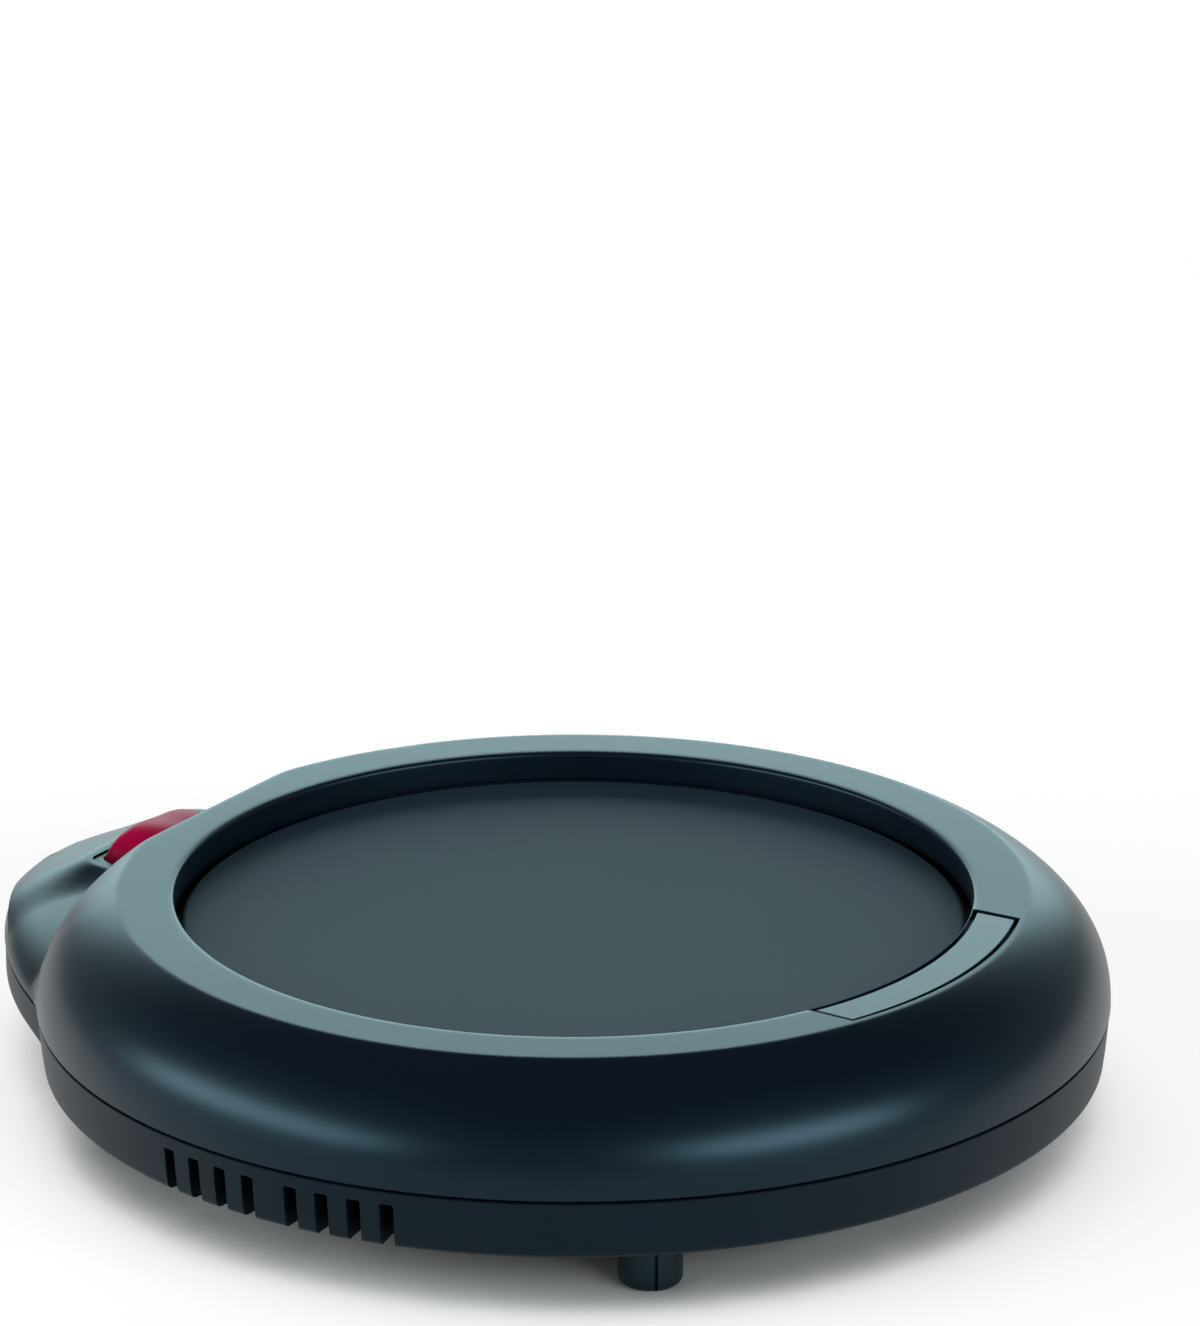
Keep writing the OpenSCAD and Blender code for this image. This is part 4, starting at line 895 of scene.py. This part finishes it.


def red_plastic():
    """Translucent red, with painted shade: its colour darkens towards the skirt."""
    mat = material("red_look", (0.33, 0.003, 0.04), 0.30, 0.8, bump=0.01, tone=0.12, spread=0.03,
                   Subsurface_Weight=0.15, Subsurface_Radius=(0.004, 0.0004, 0.0004),
                   Subsurface_Scale=0.6, Specular_IOR_Level=0.02,
                   Specular_Tint=(1.0, 0.45, 0.75, 1))
    nodes, links = mat.node_tree.nodes, mat.node_tree.links
    shader = nodes["Principled BSDF"]
    plain = shader.inputs["Base Color"].links[0].from_socket
    coords = nodes.new("ShaderNodeTexCoord")
    parts = nodes.new("ShaderNodeSeparateXYZ")
    links.new(coords.outputs["Object"], parts.inputs[0])
    level = nodes.new("ShaderNodeMapRange")
    level.interpolation_type = "SMOOTHSTEP"
    level.inputs["From Min"].default_value = RED_SHADE_FULL_Z
    level.inputs["From Max"].default_value = RED_SHADE_END_Z
    links.new(parts.outputs["Z"], level.inputs["Value"])
    # Painted shade: a deep red is mixed in below a set height, darkest at the skirt.
    painted_shade_mix = nodes.new("ShaderNodeMix")
    painted_shade_mix.data_type = "RGBA"
    painted_shade_mix.inputs["A"].default_value = (0.12, 0.0, 0.006, 1)
    links.new(plain, painted_shade_mix.inputs["B"])
    links.new(level.outputs["Result"], painted_shade_mix.inputs["Factor"])
    links.new(painted_shade_mix.outputs["Result"], shader.inputs["Base Color"])
    return mat


SHEEN_TINT = (0.48, 0.82, 1.0)      # the dark plastic's own cool sheen

LOOKS = {
    "housing_upper": material("housing_upper_look", (0.0028, 0.005, 0.0095), 0.34, 0.2, bump=0.02,
                              tone=0.12, spread=0.02, Specular_Tint=(*SHEEN_TINT, 1),
                              Specular_IOR_Level=0.30),
    "housing_lower": material("housing_lower_look", (0.0028, 0.005, 0.009), 0.46, 0.2, bump=0.03,
                              tone=0.12, spread=0.02, Specular_Tint=(*SHEEN_TINT, 1),
                              Specular_IOR_Level=0.18),
    "label": material("label_look", (0.006, 0.010, 0.015), 0.26, 0.2, bump=0.02, tone=0.12,
                      spread=0.02, Specular_Tint=(*SHEEN_TINT, 1), Specular_IOR_Level=0.28),
    "plate": material("plate_look", (0.010, 0.020, 0.030), 0.6, 0.22, bump=0.2, tone=0.2, cells=True,
                      spread=0.06, Specular_IOR_Level=0.2),
    "seal": material("seal_look", (0.015, 0.017, 0.02), 0.6, 0.5),
    "steel": material("steel_look", (0.6, 0.61, 0.63), 0.3, 0.12, bump=0.08, stretch=(1, 1, 12),
                      Metallic=1.0),
    "mica": material("mica_look", (0.62, 0.55, 0.4), 0.45, 1.6, bump=0.1, tone=0.25, cells=True),
    "ribbon": material("ribbon_look", (0.5, 0.45, 0.36), 0.35, 0.1, Metallic=1.0),
    "pad": material("pad_look", (0.8, 0.79, 0.72), 0.9, 0.4, bump=0.6, tone=0.15, stretch=(1, 3, 1)),
    "shield": material("shield_look", (0.78, 0.79, 0.8), 0.22, 0.15, bump=0.05, stretch=(12, 1, 1),
                       Metallic=1.0),
    "ceramic": material("ceramic_look", (0.88, 0.87, 0.82), 0.6, 0.2, bump=0.15, tone=0.05),
    "brass": material("brass_look", (0.72, 0.55, 0.24), 0.28, 0.15, bump=0.05, Metallic=1.0),
    "wire_brown": material("wire_brown_look", (0.25, 0.12, 0.06), 0.5, 0.5),
    "wire_blue": material("wire_blue_look", (0.08, 0.16, 0.4), 0.5, 0.5),
    "wire_white": material("wire_white_look", (0.7, 0.68, 0.6), 0.85, 0.25, bump=0.6, stretch=(1, 4, 1)),
    "cap": material("cap_look", (0.8, 0.8, 0.72), 0.35, 0.6, bump=0.05),
    "switch": material("switch_look", (0.0028, 0.005, 0.009), 0.34, 0.2, bump=0.02, spread=0.02,
                       Specular_Tint=(*SHEEN_TINT, 1), Specular_IOR_Level=0.2),
    "red": red_plastic(),
    "lamp": material("lamp_look", (0.95, 0.6, 0.4), 0.08, 1.0, bump=0.0, Transmission_Weight=0.6),
    "gland": material("gland_look", (0.005, 0.008, 0.011), 0.5, 0.25, bump=0.15, tone=0.15,
                      Specular_Tint=(*SHEEN_TINT, 1), Specular_IOR_Level=0.2),
    "foot": material("foot_look", (0.005, 0.009, 0.013), 0.38, 0.3, bump=0.12, tone=0.2,
                     Specular_Tint=(*SHEEN_TINT, 1), Specular_IOR_Level=0.35),
}


# ---------- Putting the pieces on the frame ----------

def put(obj, node, slot, body="base"):
    """Shows the object in place of a node, with a slot's finish, on a body."""
    obj.data.materials.clear()
    obj.data.materials.append(LOOKS[slot])
    obj.data.polygons.foreach_set("material_index", [0] * len(obj.data.polygons))
    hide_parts(node)
    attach(obj, body)


for node in NODES.values():
    for material_slot in node.material_slots:
        material_slot.material = LOOKS[material_slot.material.name.split(".")[0]]

put(upper_housing(), "upper_housing", "housing_upper")
put(lower_housing(), "lower_housing", "housing_lower")
put(label(), "label_plate", "label")
put(heating_plate(), "heating_plate", "plate")
put(rocker(), "rocker", "red", "rocker")
put(switch_frame(), "switch_body", "switch")
put(outlet_bush(), "cord_gland", "gland")
put(housing_screws(), "housing_screws", "steel")
put(rubber_feet(), "rubber_feet", "foot")

# ---------- Floor, light and camera ----------

TO_CAMERA = np.array([-0.841, -0.541])          # plan directions from the part
TO_RIGHT = np.array([0.537, -0.843])
CAMERA_AT = (-0.6730, -0.4325, 0.3297)
CAMERA_PITCH, CAMERA_TURN = 71.124, -57.5
LENS, SENSOR_W = 193.75, 36


def seen_rays(nodes, links):
    """1 for the rays that see the background itself: camera, glossy and transmission rays."""
    path = nodes.new("ShaderNodeLightPath")
    value = path.outputs["Is Camera Ray"]
    for ray in ("Is Glossy Ray", "Is Transmission Ray"):
        larger = nodes.new("ShaderNodeMath")
        larger.operation = "MAXIMUM"
        links.new(value, larger.inputs[0])
        links.new(path.outputs[ray], larger.inputs[1])
        value = larger.outputs[0]
    return value


def floor():
    """A floor that glows to white, and darkens softly under and beside the part."""
    half = FLOOR_HALF
    obj = prism("floor", [(-half, -half), (half, -half), (half, half), (-half, half)], -FLOOR_T, 0)
    mat = bpy.data.materials.new("floor_look")
    mat.use_nodes = True
    nodes, links = mat.node_tree.nodes, mat.node_tree.links
    nodes.remove(nodes["Principled BSDF"])
    matte = nodes.new("ShaderNodeBsdfDiffuse")
    matte.inputs["Color"].default_value = (*FLOOR_COLOR, 1)
    glow = nodes.new("ShaderNodeEmission")
    open_sky = nodes.new("ShaderNodeAmbientOcclusion")
    open_sky.inputs["Distance"].default_value = SHADOW_REACH
    fade = nodes.new("ShaderNodeMapRange")
    fade.interpolation_type = "SMOOTHSTEP"
    fade.inputs["From Min"].default_value = SHADOW_FROM
    fade.inputs["From Max"].default_value = SHADOW_TO
    fade.inputs["To Max"].default_value = FLOOR_GLOW
    links.new(open_sky.outputs["AO"], fade.inputs["Value"])
    level = nodes.new("ShaderNodeMath")
    level.operation = "MULTIPLY"
    links.new(fade.outputs["Result"], level.inputs[0])
    links.new(seen_rays(nodes, links), level.inputs[1])
    links.new(level.outputs[0], glow.inputs["Strength"])
    both = nodes.new("ShaderNodeAddShader")
    links.new(matte.outputs[0], both.inputs[0])
    links.new(glow.outputs[0], both.inputs[1])
    links.new(both.outputs[0], nodes["Material Output"].inputs["Surface"])
    obj.data.materials.append(mat)


def world():
    """A plain room, the same for every ray: pale below the horizon, grey above it, dark overhead."""
    room = bpy.data.worlds.new("room")
    bpy.context.scene.world = room
    room.use_nodes = True
    nodes, links = room.node_tree.nodes, room.node_tree.links
    coords = nodes.new("ShaderNodeTexCoord")
    parts = nodes.new("ShaderNodeSeparateXYZ")
    links.new(coords.outputs["Generated"], parts.inputs[0])
    ramp = nodes.new("ShaderNodeValToRGB")
    links.new(parts.outputs["Z"], ramp.inputs["Fac"])
    stops = ramp.color_ramp.elements
    stops.remove(stops[1])
    for number, (position, level) in enumerate(ROOM_STOPS):
        stop = stops.new(position) if number else stops[0]
        stop.position = position
        stop.color = (*[level * c for c in ROOM_TINT], 1)
    links.new(ramp.outputs["Color"], nodes["Background"].inputs["Color"])


def softbox(name, right_deg, up_deg, width, height, radiance, tint, mirrored):
    """A rectangular lamp that faces the part, placed by its bearing from the camera's side. One that
    isn't mirrored lights the part and the floor but doesn't show in their gloss."""
    data = bpy.data.lights.new(name, "AREA")
    data.shape, data.size, data.size_y = "RECTANGLE", width, height
    data.energy = radiance * math.pi * width * height
    data.color = tint
    obj = bpy.data.objects.new(name, data)
    bearing = math.radians(right_deg)
    plan = TO_CAMERA * math.cos(bearing) + TO_RIGHT * math.sin(bearing)
    up = math.radians(up_deg)
    obj.location = Vector((*(plan * math.cos(up)), math.sin(up))) * LAMP_DISTANCE
    obj.rotation_euler = (-obj.location).to_track_quat("-Z", "Y").to_euler()
    obj.visible_glossy = mirrored
    bpy.context.scene.collection.objects.link(obj)


floor()
world()
for lamp in SOFTBOXES:
    softbox(*lamp)

cam_data = bpy.data.cameras.new("camera")
cam_data.lens, cam_data.sensor_width = LENS, SENSOR_W
cam = bpy.data.objects.new("camera", cam_data)
cam.location = CAMERA_AT
cam.rotation_euler = (math.radians(CAMERA_PITCH), 0, math.radians(CAMERA_TURN))
cam_data.clip_end = 20
bpy.context.scene.collection.objects.link(cam)
bpy.context.scene.camera = cam
bpy.context.scene.view_settings.view_transform = "Standard"
